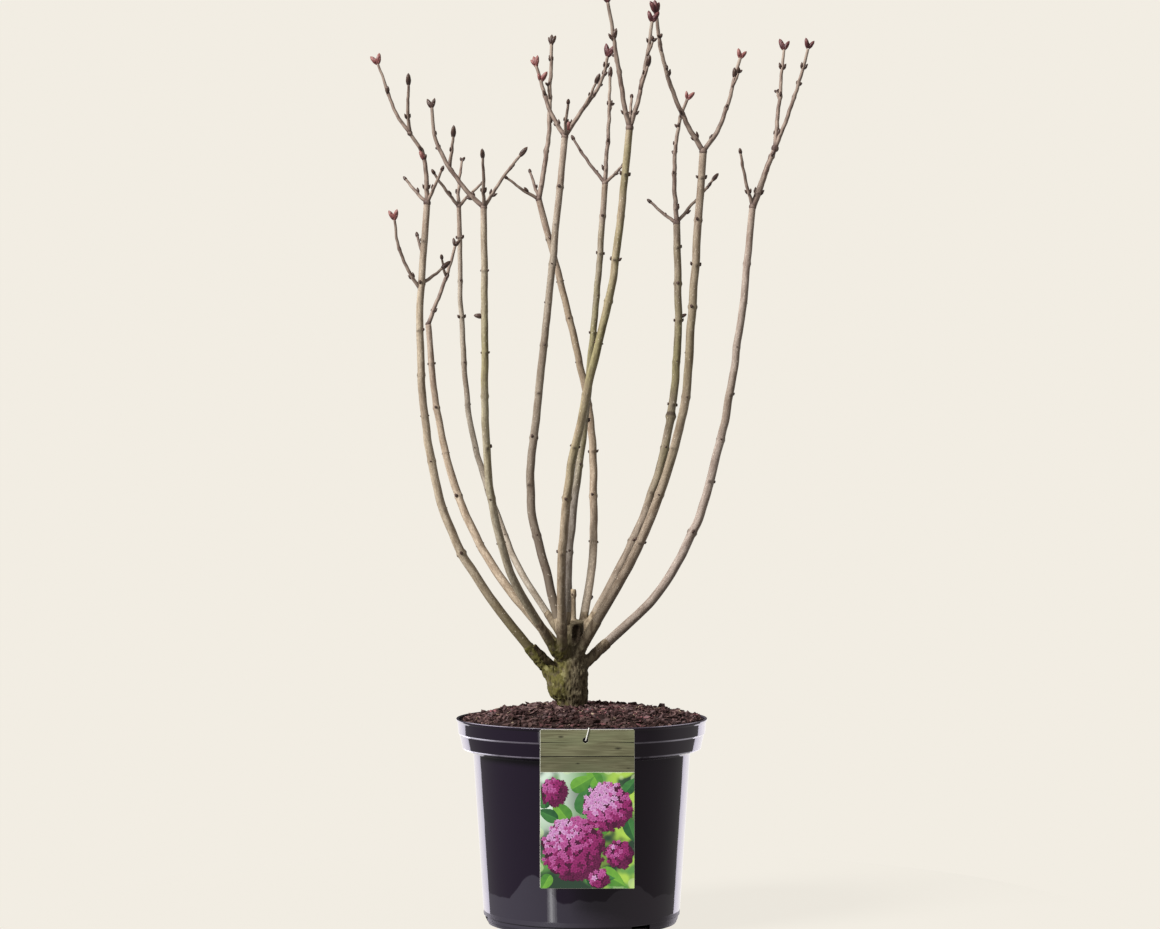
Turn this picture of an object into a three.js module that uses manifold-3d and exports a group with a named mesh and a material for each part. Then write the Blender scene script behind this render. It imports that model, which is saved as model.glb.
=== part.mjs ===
// A lilac bush in winter: eleven bare boughs from one short trunk, each ending in budded twigs, in a
// round nursery pot filled with potting soil, with a picture label hung on the pot's rim.
// Millimetres, +Z up. The origin is the centre of the pot's flat underside. Someone facing the label
// looks along +Y, with +X to the right.

import * as THREE from "three";
import { mergeVertices } from "three/addons/utils/BufferGeometryUtils.js";
import Module from "manifold-3d";

const wasm = await Module();
wasm.setup();

// ---- Driving dimensions ----

const GAP = 0.3; // clearance between pieces that touch

const POT_HEIGHT = 227;
const LIP_RADIUS = 140;
const POT = {
  segments: 36,
  wall: 2,
  floor: 3,
  // Radius and height up the outside: foot ring, tapering wall, lower band, upper band, lip.
  outside: [
    [105.6, 0],
    [107, 8],
    [109.2, 9],
    [120.8, 187],
    [127, 188.7],
    [133, 192.5],
    [136.4, 205],
    [137.8, 206.5],
    [138.6, 223.5],
    [LIP_RADIUS, 224.5],
    [LIP_RADIUS, POT_HEIGHT],
  ],
  lipWidth: 3,
  // Drain notches in the foot ring, the first so many degrees to the right of the front.
  notches: { count: 3, first: 37, width: 25, height: 8, depth: 24 },
};

const SOIL = {
  edge: 224, // height at the pot's wall
  crown: 240, // height of the flat patch that the trunk stands on
  patch: 36, // radius of that patch
  rings: 4,
  roundness: 1.8,
};

const TRUNK = {
  sides: 12,
  // Height, how far the middle is across, and half the width there.
  rings: [
    [240, -10.3, 17.8],
    [247, -11, 18.8],
    [256, -13.5, 20.6],
    [266, -15, 22.4],
    [276, -13.5, 21.4],
    [287, -12.5, 18.5],
    [300, -12, 15.5],
    [314, -12, 12],
    [324, -12, 7],
  ],
  depthShare: 0.9, // depth of the trunk against its width
  knobs: 0.09, // how far its surface swells and sinks, as a share of its radius
  collar: 46, // length of each bough's root, which is part of the trunk
  swelling: [1.25, 1.1, 1], // a root's thickness against the bough's foot, at its start, middle and end
};

// Cut stubs on the trunk: from, to, and radius at each end.
const STUBS = [
  { from: [-26, -8, 280], to: [-50, -20, 308], thick: [6, 4.4] },
  { from: [-9, -2, 312], to: [-9, -5, 369], thick: [4, 2.6] },
  { from: [-9, -5, 363], to: [-9.5, -5, 371], thick: [3.6, 3.2] },
  { from: [-6, -10, 310], to: [-4, -12, 335], thick: [6, 5] },
];

// Each bough runs from its foot on the trunk to its fork, at those heights. `across` is how far right
// of the pot's centre it is at the shares of that height in STATIONS. `depth` is how far behind the
// centre it ends, and `thick` its radius at foot and fork.
const STATIONS = [0, 0.1, 0.24, 0.45, 0.7, 1];
const BOUGHS = {
  far_left: {
    foot: 306, fork: 797, depth: -50, thick: [6.6, 4.3],
    across: [-59, -97, -139, -168, -178, -170],
  },
  short_left: {
    foot: 331, fork: 670, depth: 90, thick: [5.6, 3.4],
    across: [-50, -80, -113, -144, -165, -176],
  },
  thin_left: {
    foot: 340, fork: 810, depth: 140, thick: [4.8, 3],
    across: [-38, -69, -98, -128, -139, -143],
  },
  front_left: {
    foot: 335, fork: 785, depth: -130, thick: [5.4, 3.8],
    across: [-48, -73, -92, -103, -104, -105],
  },
  middle: {
    foot: 335, fork: 880, depth: 40, thick: [6, 4.2],
    across: [-26, -40, -57, -49, -35, -19],
  },
  back_leaning: {
    foot: 340, fork: 819, depth: 150, thick: [5.4, 4],
    across: [3, 11, 14, 11, -13, -50],
  },
  back_middle: {
    foot: 340, fork: 834, depth: 110, thick: [5.2, 3.8],
    across: [-15, -15, -9, 4, 16, 27],
  },
  front_leaning: {
    foot: 335, fork: 868, depth: -150, thick: [6.3, 4.5],
    across: [-22, -22, -17, 3, 33, 51],
  },
  back_right: {
    foot: 340, fork: 789, depth: 120, thick: [6, 4.4],
    across: [15, 40, 70, 99, 111, 110],
  },
  front_right: {
    foot: 335, fork: 847, depth: -110, thick: [6.4, 4.5],
    across: [16, 45, 78, 109, 120, 131],
  },
  far_right: {
    foot: 309, fork: 799, depth: 20, thick: [6.5, 4.4],
    across: [27, 79, 121, 154, 176, 192],
  },
};
const BOUGH = {
  sides: 7,
  pieces: 12,
  ease: 1.5, // over 1, its pieces are shorter near the foot
  thinning: 0.85, // under 1, it thins sooner near the foot
  stem: 12, // how far below the fork its twigs' own stem starts
};
const SPRING_HEIGHT = 285; // where the boughs' lines meet, inside the trunk

// The twigs above each fork. `leans` are degrees from upright, + to the right, at root, middle and
// tip; `long` is the length as it shows from the front, `deep` how far it reaches backwards, `on` the
// earlier twig that it springs from, `at` the share of that twig's length, `buds` how many end it.
const TWIGS = {
  far_left: [
    { leans: [4, -8, -42], long: 80, deep: -8, thick: 3.2 },
    { leans: [-45, -41, -38], long: 36, deep: 14 },
    { leans: [30, 27, 22], long: 38, deep: -16 },
    { on: 0, leans: [-40, -21, -18], long: 86, deep: 12, buds: 2 },
    { on: 0, leans: [-6, 0, 5], long: 52, deep: -18 },
  ],
  short_left: [
    { leans: [20, 22, 14], long: 96, deep: 16, thick: 2.9, buds: 2 },
    { on: 0, at: 0.62, leans: [-20, -12, -6], long: 20, deep: -16, thick: 2 },
  ],
  thin_left: [
    { leans: [-38, -37, -34], long: 46, deep: -16 },
    { leans: [-2, 2, 14], long: 56, deep: 30 },
    { leans: [36, 42, 50], long: 38, deep: 10 },
  ],
  front_left: [
    { leans: [-48, -30, 0], long: 126, deep: 14, thick: 3, buds: 2 },
    { leans: [0, 1, 2], long: 50, deep: -38 },
    { leans: [34, 35, 45], long: 68, deep: -12, buds: 1 },
    { on: 0, at: 0.46, leans: [14, 6, 4], long: 32, deep: -14 },
  ],
  middle: [
    { leans: [-34, -19, -12], long: 90, deep: 22, thick: 3, buds: 3 },
    { leans: [6, 6, 6], long: 34, deep: -30 },
    { leans: [32, 40, 4], long: 102, deep: -16, thick: 3, buds: 2 },
    { on: 2, at: 0.36, leans: [32, 28, 24], long: 32, deep: -16 },
  ],
  back_leaning: [
    { leans: [12, 3, 2], long: 184, deep: 12, thick: 3.4, buds: 3 },
    { leans: [-17, -17, -16], long: 36, deep: 28 },
    { leans: [-64, -58, -54], long: 44, deep: -12 },
  ],
  back_middle: [
    { leans: [4, 3, 1], long: 126, deep: 14, thick: 2.9, buds: 1 },
    { leans: [-38, -36, -28], long: 64, deep: 20 },
    { leans: [49, 48, 44], long: 28, deep: -10 },
  ],
  front_leaning: [
    { leans: [-14, -8, -9], long: 134, deep: -10, thick: 3.2, buds: 2 },
    { leans: [3, 3, 3], long: 36, deep: 30 },
    { leans: [20, 12, 6], long: 118, deep: 16, thick: 3, buds: 2 },
    { on: 2, at: 0.36, leans: [20, 17, 15], long: 26, deep: -14 },
  ],
  back_right: [
    { leans: [-3, 1, 22], long: 144, deep: -8, thick: 3.2, buds: 2 },
    { leans: [-60, -47, -44], long: 39, deep: 16 },
    { leans: [34, 42, 38], long: 68, deep: 22, buds: 1 },
  ],
  front_right: [
    { leans: [-32, -19, -5], long: 158, deep: -12, thick: 3.2, buds: 3 },
    { leans: [38, 17, 13], long: 112, deep: 18, thick: 3, buds: 2 },
  ],
  far_right: [
    { leans: [21, 22, 24], long: 71, deep: 6, thick: 3.7 },
    { leans: [-14, -18, -5], long: 60, deep: -20 },
    { on: 0, leans: [5, 6, 5], long: 114, deep: 18, thick: 2.8, buds: 2 },
    { on: 0, leans: [22, 18, 12], long: 116, deep: -14, thick: 2.8, buds: 2 },
  ],
};

// Single twigs that spring from the side of a bough, at a share of its height.
const SIDE_TWIGS = {
  side_twig_outer: {
    bough: "far_left", at: 0.805, leans: [-36, -22, -4], long: 82, deep: -18, buds: 2,
  },
  side_twig_inner: { bough: "far_left", at: 0.818, leans: [55, 53, 48], long: 30, deep: 10 },
  side_twig_short: { bough: "far_left", at: 0.885, leans: [-24, -18, -12], long: 22, deep: 12 },
};

const TWIG = {
  sides: 4,
  step: 26, // length of one straight piece
  thick: 2.4, // radius at the root, where a twig gives no other
  taper: 0.64, // radius at the tip against the root
  waver: 2, // degrees that a twig turns aside at a piece's end
  firstNode: 16, // how far up its first pair of side buds is
  nodeSpacing: 40,
  spurFrom: 100, // a twig this long also bears a spur
};
// `girth` is shares of a bud's thickness, at the shares of its length in `reach`; `spread` is how many
// degrees it leans away from its twig. A bud's root is sunk in the twig.
const END_BUD = {
  sides: 4,
  reach: [-0.2, 0.38, 1],
  girth: [0.7, 1, 0.14],
  long: 10.5,
  thick: 2.7,
  spread: 17,
};
const SIDE_BUD = { sides: 3, reach: [0, 1], girth: [0.8, 0.16], long: 7.4, thick: 2, spread: 48 };
const SPUR = {
  long: 20,
  thick: 1.7,
  spread: 48,
  between: [0.45, 0.75], // the shares of its twig's length that it may spring from
  room: 9, // least distance from its tip to the middle of any other limb
};
const CROWN = { halfWidth: 262, halfDepth: 190, top: 1016 }; // no spur leaves this space

const LABEL = {
  middle: 5.9, // how far right of the pot's centre
  width: 101,
  top: 226.5,
  height: 170,
  thickness: 1,
  hole: { radius: 3, below: 11.5, aside: -2 },
};
const TIE = { width: 2.4, thickness: 0.8 };

// ---- Materials ----

const material = (color, roughness) =>
  new THREE.MeshStandardMaterial({ color, roughness, metalness: 0 });
const MATERIALS = {
  pot: material(0x25212a, 0.25),
  soil: material(0x3e2c2a, 0.95),
  trunk: material(0x6b5f45, 0.9),
  bark: material(0xa08c70, 0.7),
  twig: material(0x7d5f55, 0.65),
  label: material(0xb45f9c, 0.35),
  tie: material(0xe8e6e2, 0.5),
};

// ---- Shared geometry ----

const radians = THREE.MathUtils.degToRad;
const lerp = THREE.MathUtils.lerp;
const place = (x, y, z) => new THREE.Vector3(x, y, z);

// A seeded stream of numbers from 0 to 1.
function dice(seed) {
  let state = seed;
  return () => {
    state = (state * 1664525 + 1013904223) % 4294967296;
    return state / 4294967296;
  };
}

// The value at `share` of a smooth line through `values`, which stand at the shares in STATIONS.
function smoothed(values, share) {
  const last = values.length - 1;
  const slope = (i) => (values[i + 1] - values[i]) / (STATIONS[i + 1] - STATIONS[i]);
  const tangent = (i) => {
    if (i === 0) return slope(0);
    if (i === last) return slope(last - 1);
    const before = STATIONS[i] - STATIONS[i - 1];
    const after = STATIONS[i + 1] - STATIONS[i];
    return (slope(i - 1) * after + slope(i) * before) / (before + after);
  };
  let i = 0;
  while (i < last - 1 && share > STATIONS[i + 1]) i++;
  const span = STATIONS[i + 1] - STATIONS[i];
  const u = (share - STATIONS[i]) / span;
  if (share < 0) return values[0] + slope(0) * share;
  return (
    (2 * u ** 3 - 3 * u ** 2 + 1) * values[i] +
    (u ** 3 - 2 * u ** 2 + u) * span * tangent(i) +
    (3 * u ** 2 - 2 * u ** 3) * values[i + 1] +
    (u ** 3 - u ** 2) * span * tangent(i + 1)
  );
}

// A closed tapering tube through the points, with a radius at each and a flat face at both ends.
function limb(points, radii, sides) {
  const positions = [];
  const index = [];
  const side = place(0, 1, 0);
  points.forEach((point, i) => {
    const ahead = points[Math.min(i + 1, points.length - 1)];
    const along = ahead.clone().sub(points[Math.max(i - 1, 0)]).normalize();
    side.addScaledVector(along, -side.dot(along)).normalize();
    const other = along.clone().cross(side);
    for (let k = 0; k < sides; k++) {
      const turn = (2 * Math.PI * (k + 0.5)) / sides;
      const corner = point.clone().addScaledVector(side, radii[i] * Math.cos(turn));
      corner.addScaledVector(other, radii[i] * Math.sin(turn));
      positions.push(...corner.toArray());
    }
  });
  for (let i = 0; i < points.length - 1; i++) {
    for (let k = 0; k < sides; k++) {
      const a = i * sides + k;
      const b = i * sides + ((k + 1) % sides);
      index.push(a, b, b + sides, a, b + sides, a + sides);
    }
  }
  const end = (points.length - 1) * sides;
  for (let k = 1; k < sides - 1; k++) {
    index.push(0, k + 1, k);
    index.push(end, end + k, end + k + 1);
  }
  const geometry = new THREE.BufferGeometry();
  geometry.setAttribute("position", new THREE.Float32BufferAttribute(positions, 3));
  return geometry.setIndex(index);
}

// A body turned about Z from a profile of radius and height pairs, which runs up the outside.
function turned(profile, segments) {
  const points = profile.map(([radius, height]) => new THREE.Vector2(radius, height));
  return new THREE.LatheGeometry(points, segments).rotateX(Math.PI / 2);
}

function toSolid(geometry) {
  const bare = new THREE.BufferGeometry();
  bare.setAttribute("position", geometry.getAttribute("position"));
  if (geometry.index) bare.setIndex(geometry.index);
  const merged = mergeVertices(bare, 1e-3);
  return new wasm.Manifold(
    new wasm.Mesh({
      numProp: 3,
      vertProperties: merged.attributes.position.array,
      triVerts: new Uint32Array(merged.index.array),
    }),
  );
}

function toGeometry(solid) {
  const { vertProperties, triVerts } = solid.getMesh();
  const geometry = new THREE.BufferGeometry();
  geometry.setAttribute("position", new THREE.BufferAttribute(vertProperties, 3));
  geometry.setIndex(new THREE.BufferAttribute(triVerts, 1));
  return geometry;
}

function joined(geometries) {
  return toGeometry(geometries.map(toSolid).reduce((whole, next) => whole.add(next)));
}

function named(name, geometry, look) {
  geometry.computeVertexNormals();
  const mesh = new THREE.Mesh(geometry, look);
  mesh.name = name;
  return mesh;
}

// ---- Pot, soil and label ----

// The pot's inside follows its outside one wall's thickness in, from the floor to the lip.
function insideOfPot(clearance) {
  const inset = POT.wall + clearance;
  const [, , foot, wallTop, , lowerBand, , upperBand] = POT.outside;
  const steps = [wallTop, lowerBand, upperBand];
  const wall = steps.map(([radius, height]) => [radius - inset, height + POT.wall]);
  return [[foot[0] - inset, POT.floor + clearance], ...wall];
}

function pot() {
  const inside = insideOfPot(0);
  const rim = [LIP_RADIUS - POT.lipWidth, POT_HEIGHT];
  const profile = [[0, 0], ...POT.outside, rim, ...inside.reverse(), [0, POT.floor]];
  let body = toSolid(turned(profile, POT.segments));
  const { count, first, width, height, depth } = POT.notches;
  for (let i = 0; i < count; i++) {
    const angle = radians(first - 90 + (360 * i) / count);
    const notch = new THREE.BoxGeometry(depth, width, 2 * height);
    notch.translate(POT.outside[1][0], 0, 0).rotateZ(angle);
    body = body.subtract(toSolid(notch));
  }
  return named("pot", toGeometry(body), MATERIALS.pot);
}

function soilHeight(radius, edgeRadius) {
  const share = Math.max(0, (radius - SOIL.patch) / (edgeRadius - SOIL.patch));
  return SOIL.crown - (SOIL.crown - SOIL.edge) * share ** SOIL.roundness;
}

function soil() {
  const inside = insideOfPot(GAP);
  const edgeRadius = inside.at(-1)[0];
  const dome = [[edgeRadius, SOIL.edge]];
  for (let i = SOIL.rings - 1; i >= 0; i--) {
    const radius = SOIL.patch + ((edgeRadius - SOIL.patch) * i) / SOIL.rings;
    dome.push([radius, soilHeight(radius, edgeRadius)]);
  }
  const profile = [[0, POT.floor + GAP], ...inside, ...dome, [0, SOIL.crown]];
  return named("potting_soil", turned(profile, POT.segments), MATERIALS.soil);
}

const labelBack = -(LIP_RADIUS + GAP);

function label() {
  const { width, height, thickness, hole, middle, top } = LABEL;
  const card = new THREE.Shape();
  card.moveTo(-width / 2, -height);
  card.lineTo(width / 2, -height);
  card.lineTo(width / 2, 0);
  card.lineTo(-width / 2, 0);
  card.closePath();
  const punched = new THREE.Path();
  punched.absarc(hole.aside, -hole.below, hole.radius, 0, 2 * Math.PI, true);
  card.holes.push(punched);
  const flat = { depth: thickness, bevelEnabled: false, curveSegments: 8 };
  const geometry = new THREE.ExtrudeGeometry(card, flat);
  geometry.rotateX(Math.PI / 2).translate(middle, labelBack, top);
  return named("label_card", geometry, MATERIALS.label);
}

// A flat strap through the label's hole, up its face, over the pot's lip and down to the soil.
function tie() {
  const thick = TIE.thickness;
  const front = labelBack - LABEL.thickness - GAP;
  const over = POT_HEIGHT + GAP;
  const inner = -insideOfPot(GAP).at(-1)[0];
  const end = SOIL.edge + 2 * GAP;
  const low = LABEL.top - LABEL.hole.below - thick / 2;
  const outline = [
    [labelBack, low],
    [front - thick, low],
    [front - thick, over + thick],
    [inner + thick, over + thick],
    [inner + thick, end],
    [inner, end],
    [inner, over],
    [front, over],
    [front, low + thick],
    [labelBack, low + thick],
  ];
  const side = new THREE.Shape(outline.map(([y, z]) => new THREE.Vector2(y, z)));
  const geometry = new THREE.ExtrudeGeometry(side, { depth: TIE.width, bevelEnabled: false });
  geometry.rotateX(Math.PI / 2).rotateZ(Math.PI / 2);
  geometry.translate(LABEL.middle + LABEL.hole.aside - TIE.width / 2, 0, 0);
  return named("label_tie", geometry, MATERIALS.tie);
}

// ---- Boughs and trunk ----

// The middle of a bough at a share of the way from its foot to its fork; below its foot it runs straight.
function alongBough(bough, share) {
  const height = bough.foot + share * (bough.fork - bough.foot);
  const risen = (height - SPRING_HEIGHT) / (bough.fork - SPRING_HEIGHT);
  const outward = 1 - (1 - Math.max(0, risen)) ** 3;
  return place(smoothed(bough.across, share), bough.depth * outward, height);
}

function boughThickness(bough, share) {
  return lerp(...bough.thick, share ** BOUGH.thinning);
}

const stemShare = (bough) => 1 - BOUGH.stem / (bough.fork - bough.foot);
const gapShare = (bough) => GAP / (bough.fork - bough.foot);

// Rings from one share of a bough to another, closer together near the foot where `ease` is over 1.
function stretchOfBough(bough, from, to, pieces, ease = 1) {
  const steps = Array.from({ length: pieces + 1 }, (_, i) => (i / pieces) ** ease);
  const shares = steps.map((step) => from + (to - from) * step);
  return {
    points: shares.map((share) => alongBough(bough, share)),
    radii: shares.map((share) => boughThickness(bough, share)),
  };
}

function boughBody(bough) {
  const { points, radii } = stretchOfBough(bough, 0, stemShare(bough), BOUGH.pieces, BOUGH.ease);
  return limb(points, radii, BOUGH.sides);
}

function trunkBody() {
  const rings = TRUNK.rings;
  const points = rings.map(([height, across]) => place(across, 0, height));
  const geometry = limb(points, rings.map(([, , radius]) => radius), TRUNK.sides);
  const positions = geometry.getAttribute("position");
  for (let i = 0; i < positions.count; i++) {
    const ring = Math.floor(i / TRUNK.sides);
    const turn = (2 * Math.PI * (i % TRUNK.sides)) / TRUNK.sides;
    const swell = 1 + TRUNK.knobs * Math.sin(3 * turn + 1.7 * ring) * Math.cos(2 * turn - ring);
    const across = rings[ring][1] + (positions.getX(i) - rings[ring][1]) * swell;
    positions.setXYZ(i, across, positions.getY(i) * swell * TRUNK.depthShare, rings[ring][0]);
  }
  return geometry;
}

// The root of a bough, from inside the trunk to just below the bough's foot.
function collar(bough) {
  const top = alongBough(bough, -gapShare(bough));
  const down = top.clone().sub(alongBough(bough, 0.01)).normalize();
  const [thick] = bough.thick;
  const points = [1, 0.5, 0].map((share) => top.clone().addScaledVector(down, TRUNK.collar * share));
  return limb(points, TRUNK.swelling.map((share) => share * thick), BOUGH.sides);
}

function trunk() {
  const stubs = STUBS.map(({ from, to, thick }) => limb([place(...from), place(...to)], thick, 6));
  const collars = Object.values(BOUGHS).map(collar);
  return named("trunk", joined([trunkBody(), ...collars, ...stubs]), MATERIALS.trunk);
}

// ---- Twigs and buds ----

const limbsPlaced = []; // every limb's middle line, which no spur may touch

function budBody(root, direction, bud) {
  const points = bud.reach.map((share) => root.clone().addScaledVector(direction, bud.long * share));
  return limb(points, bud.girth.map((share) => share * bud.thick), bud.sides);
}

// A direction turned away from `along` by `spread` degrees, towards the bearing `turn` round it.
function aside(along, spread, turn) {
  const across = place(0, 1, 0).cross(along).normalize();
  const other = along.clone().cross(across);
  const out = across.multiplyScalar(Math.cos(turn)).addScaledVector(other, Math.sin(turn));
  const forward = along.clone().multiplyScalar(Math.cos(radians(spread)));
  return forward.addScaledVector(out, Math.sin(radians(spread)));
}

// The middle line of a twig from its root, bending through its leans.
function twigLine(root, twig, roll) {
  const pieces = Math.max(2, Math.round(twig.long / TWIG.step));
  const points = [root.clone()];
  for (let i = 0; i < pieces; i++) {
    const halves = (2 * (i + 0.5)) / pieces;
    const [first, middle, last] = twig.leans;
    const steady = halves < 1 ? lerp(first, middle, halves) : lerp(middle, last, halves - 1);
    const lean = radians(steady + TWIG.waver * (2 * roll() - 1));
    const step = place(Math.sin(lean), twig.deep / twig.long, Math.cos(lean));
    points.push(points.at(-1).clone().addScaledVector(step, twig.long / pieces));
  }
  return points;
}

function pointOnLine(line, share) {
  const position = share * (line.length - 1);
  const i = Math.min(Math.floor(position), line.length - 2);
  return line[i].clone().lerp(line[i + 1], position - i);
}

function endBuds(tip, along, count, roll) {
  const turn = roll() * Math.PI;
  const paired = [turn, turn + Math.PI].map((bearing) =>
    budBody(tip, aside(along, END_BUD.spread, bearing), END_BUD),
  );
  if (count === 2) return paired;
  const middle = budBody(tip, along, END_BUD);
  return count === 3 ? [...paired, middle] : [middle];
}

function sideBuds(line, long) {
  const bodies = [];
  let quarter = 0;
  for (let up = TWIG.firstNode; up < long - TWIG.firstNode / 2; up += TWIG.nodeSpacing) {
    const root = pointOnLine(line, up / long);
    const along = pointOnLine(line, up / long + 0.02).sub(root).normalize();
    for (const half of [0, Math.PI]) {
      bodies.push(budBody(root, aside(along, SIDE_BUD.spread, half + (quarter * Math.PI) / 2), SIDE_BUD));
    }
    quarter++;
  }
  return bodies;
}

// Whether a spur stays in the crown and clear of every limb but its own twig.
function hasRoom(line, own) {
  return line.every((point) => {
    const within = Math.abs(point.x) < CROWN.halfWidth && Math.abs(point.y) < CROWN.halfDepth;
    const others = limbsPlaced.filter((other) => other !== own).flat();
    const clear = others.every((corner) => corner.distanceTo(point) > SPUR.room);
    return within && point.z < CROWN.top && clear;
  });
}

function spur(line, roll) {
  const root = pointOnLine(line, lerp(...SPUR.between, roll()));
  const along = line.at(-1).clone().sub(line[0]).normalize();
  const turn = roll() < 0.5 ? Math.PI / 2 : -Math.PI / 2;
  const out = aside(along, SPUR.spread, turn + 0.5 * (roll() - 0.5));
  const route = [root, root.clone().addScaledVector(out, SPUR.long)];
  if (!hasRoom(route.slice(1), line)) return [];
  limbsPlaced.push(route);
  const shoot = limb(route, [SPUR.thick, SPUR.thick * TWIG.taper], TWIG.sides);
  return [shoot, budBody(route[1], out, END_BUD)];
}

// All bodies of one twig: the shoot, its side buds, its spur and, unless it goes on in other twigs, its
// end buds.
function twigBodies(line, twig, goesOn, roll) {
  const thick = twig.thick ?? TWIG.thick;
  const radii = line.map((_, i) => thick * lerp(1, TWIG.taper, i / (line.length - 1)));
  const along = line.at(-1).clone().sub(line.at(-2)).normalize();
  const bodies = [limb(line, radii, TWIG.sides), ...sideBuds(line, twig.long)];
  if (!goesOn) bodies.push(...endBuds(line.at(-1), along, twig.buds ?? 1, roll));
  if (twig.long >= TWIG.spurFrom) bodies.push(...spur(line, roll));
  return bodies;
}

// One mass: the stem on the bough's tip, and the twigs that fork from it.
function twigMass(name, seed) {
  const bough = BOUGHS[name];
  const roll = dice(seed);
  const start = stemShare(bough) + gapShare(bough);
  const { points, radii } = stretchOfBough(bough, start, 1, 2);
  const bodies = [limb(points, radii, BOUGH.sides)];
  const fork = points.at(-1);
  const lines = [];
  TWIGS[name].forEach((twig, i) => {
    const root = twig.on === undefined ? fork : pointOnLine(lines[twig.on], twig.at ?? 1);
    const line = twigLine(root, twig, roll);
    lines.push(line);
    limbsPlaced.push(line);
    const goesOn = TWIGS[name].some((other) => other.on === i && (other.at ?? 1) === 1);
    bodies.push(...twigBodies(line, twig, goesOn, roll));
  });
  return named("twigs_" + name, joined(bodies), MATERIALS.twig);
}

// A twig on the side of a bough, cut clear of the stretch of bough that it springs from.
function sideTwig(name, seed) {
  const twig = SIDE_TWIGS[name];
  const bough = BOUGHS[twig.bough];
  const roll = dice(seed);
  const line = twigLine(alongBough(bough, twig.at), twig, roll);
  limbsPlaced.push(line);
  const bodies = twigBodies(line, twig, false, roll);
  const reach = 0.08;
  const { points, radii } = stretchOfBough(bough, twig.at - reach, twig.at + reach, 4);
  const space = toSolid(limb(points, radii.map((radius) => radius + 2 * GAP), BOUGH.sides));
  const whole = toSolid(joined(bodies)).subtract(space).decompose();
  const largest = whole.reduce((a, b) => (a.volume() > b.volume() ? a : b));
  return named(name, toGeometry(largest), MATERIALS.twig);
}

// ---- The whole plant ----

const bush = new THREE.Group();
bush.add(pot(), soil(), label(), tie(), trunk());
for (const [name, bough] of Object.entries(BOUGHS)) {
  bush.add(named("bough_" + name, boughBody(bough), MATERIALS.bark));
  limbsPlaced.push(stretchOfBough(bough, 0, 1, 40).points);
}
Object.keys(TWIGS).forEach((name, i) => bush.add(twigMass(name, 11 + i)));
Object.keys(SIDE_TWIGS).forEach((name, i) => bush.add(sideTwig(name, 41 + i)));

export default bush;
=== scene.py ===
"""A lilac bush in winter, in a nursery pot with a picture label: its looks, built round the CAD frame.

Sizes are in millimetres, as in the part's source, and become metres where a mesh is made. The bush
grows here by the same rule and from the same sizes as in the source, carried to finer detail.
Colours run from 0 to 255, as a picture shows them. Places that a material names are in metres.
"""

import itertools
import math

import bpy
import numpy as np
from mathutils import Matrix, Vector, noise


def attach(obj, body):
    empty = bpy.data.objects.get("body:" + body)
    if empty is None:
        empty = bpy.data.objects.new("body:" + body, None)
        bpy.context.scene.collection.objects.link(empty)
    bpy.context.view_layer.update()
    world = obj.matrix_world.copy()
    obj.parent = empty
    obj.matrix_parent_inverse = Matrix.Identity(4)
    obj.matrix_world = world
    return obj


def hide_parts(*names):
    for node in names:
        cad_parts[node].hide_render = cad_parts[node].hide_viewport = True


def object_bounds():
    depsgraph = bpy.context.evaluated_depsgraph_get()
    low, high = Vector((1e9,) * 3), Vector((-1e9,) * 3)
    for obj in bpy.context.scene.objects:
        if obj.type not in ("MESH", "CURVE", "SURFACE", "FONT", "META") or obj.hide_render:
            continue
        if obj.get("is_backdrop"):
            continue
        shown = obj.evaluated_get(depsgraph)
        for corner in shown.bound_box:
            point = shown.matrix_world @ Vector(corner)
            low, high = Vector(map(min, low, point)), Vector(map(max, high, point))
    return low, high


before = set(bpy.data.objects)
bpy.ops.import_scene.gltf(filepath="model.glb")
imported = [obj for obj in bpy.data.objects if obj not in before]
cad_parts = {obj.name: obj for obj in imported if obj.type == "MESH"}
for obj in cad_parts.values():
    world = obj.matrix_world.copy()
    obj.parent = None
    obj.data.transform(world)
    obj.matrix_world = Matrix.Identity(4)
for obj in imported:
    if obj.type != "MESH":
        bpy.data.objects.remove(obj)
cad_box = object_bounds()

MM = 0.001
UP = np.array([0.0, 0.0, 1.0])

# ---- Sizes of the source, with the looks that only the scene has ----

GAP = 0.3
POT_HEIGHT = 227
POT_FLOOR = 3
LIP_RADIUS = 140
NOTCHES = {"count": 3, "first": 37, "width": 25, "height": 8, "depth": 24, "radius": 107}
SOIL = {"edge": 224, "crown": 240, "patch": 36, "roundness": 1.8, "radius": 135.5}

# Height, how far the middle is across, and half the width there.
TRUNK_RINGS = [
    (240, -10.3, 17.8),
    (247, -11, 18.8),
    (256, -13.5, 20.6),
    (266, -15, 22.4),
    (276, -13.5, 21.4),
    (287, -12.5, 18.5),
    (300, -12, 15.5),
    (314, -12, 12),
    (324, -12, 7),
]
TRUNK_DEPTH = 0.9
ROOT_LENGTH = 46
ROOT_SWELLING = (1.15, 0.98, 0.94)
ROOT_LOWEST = 262

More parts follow.
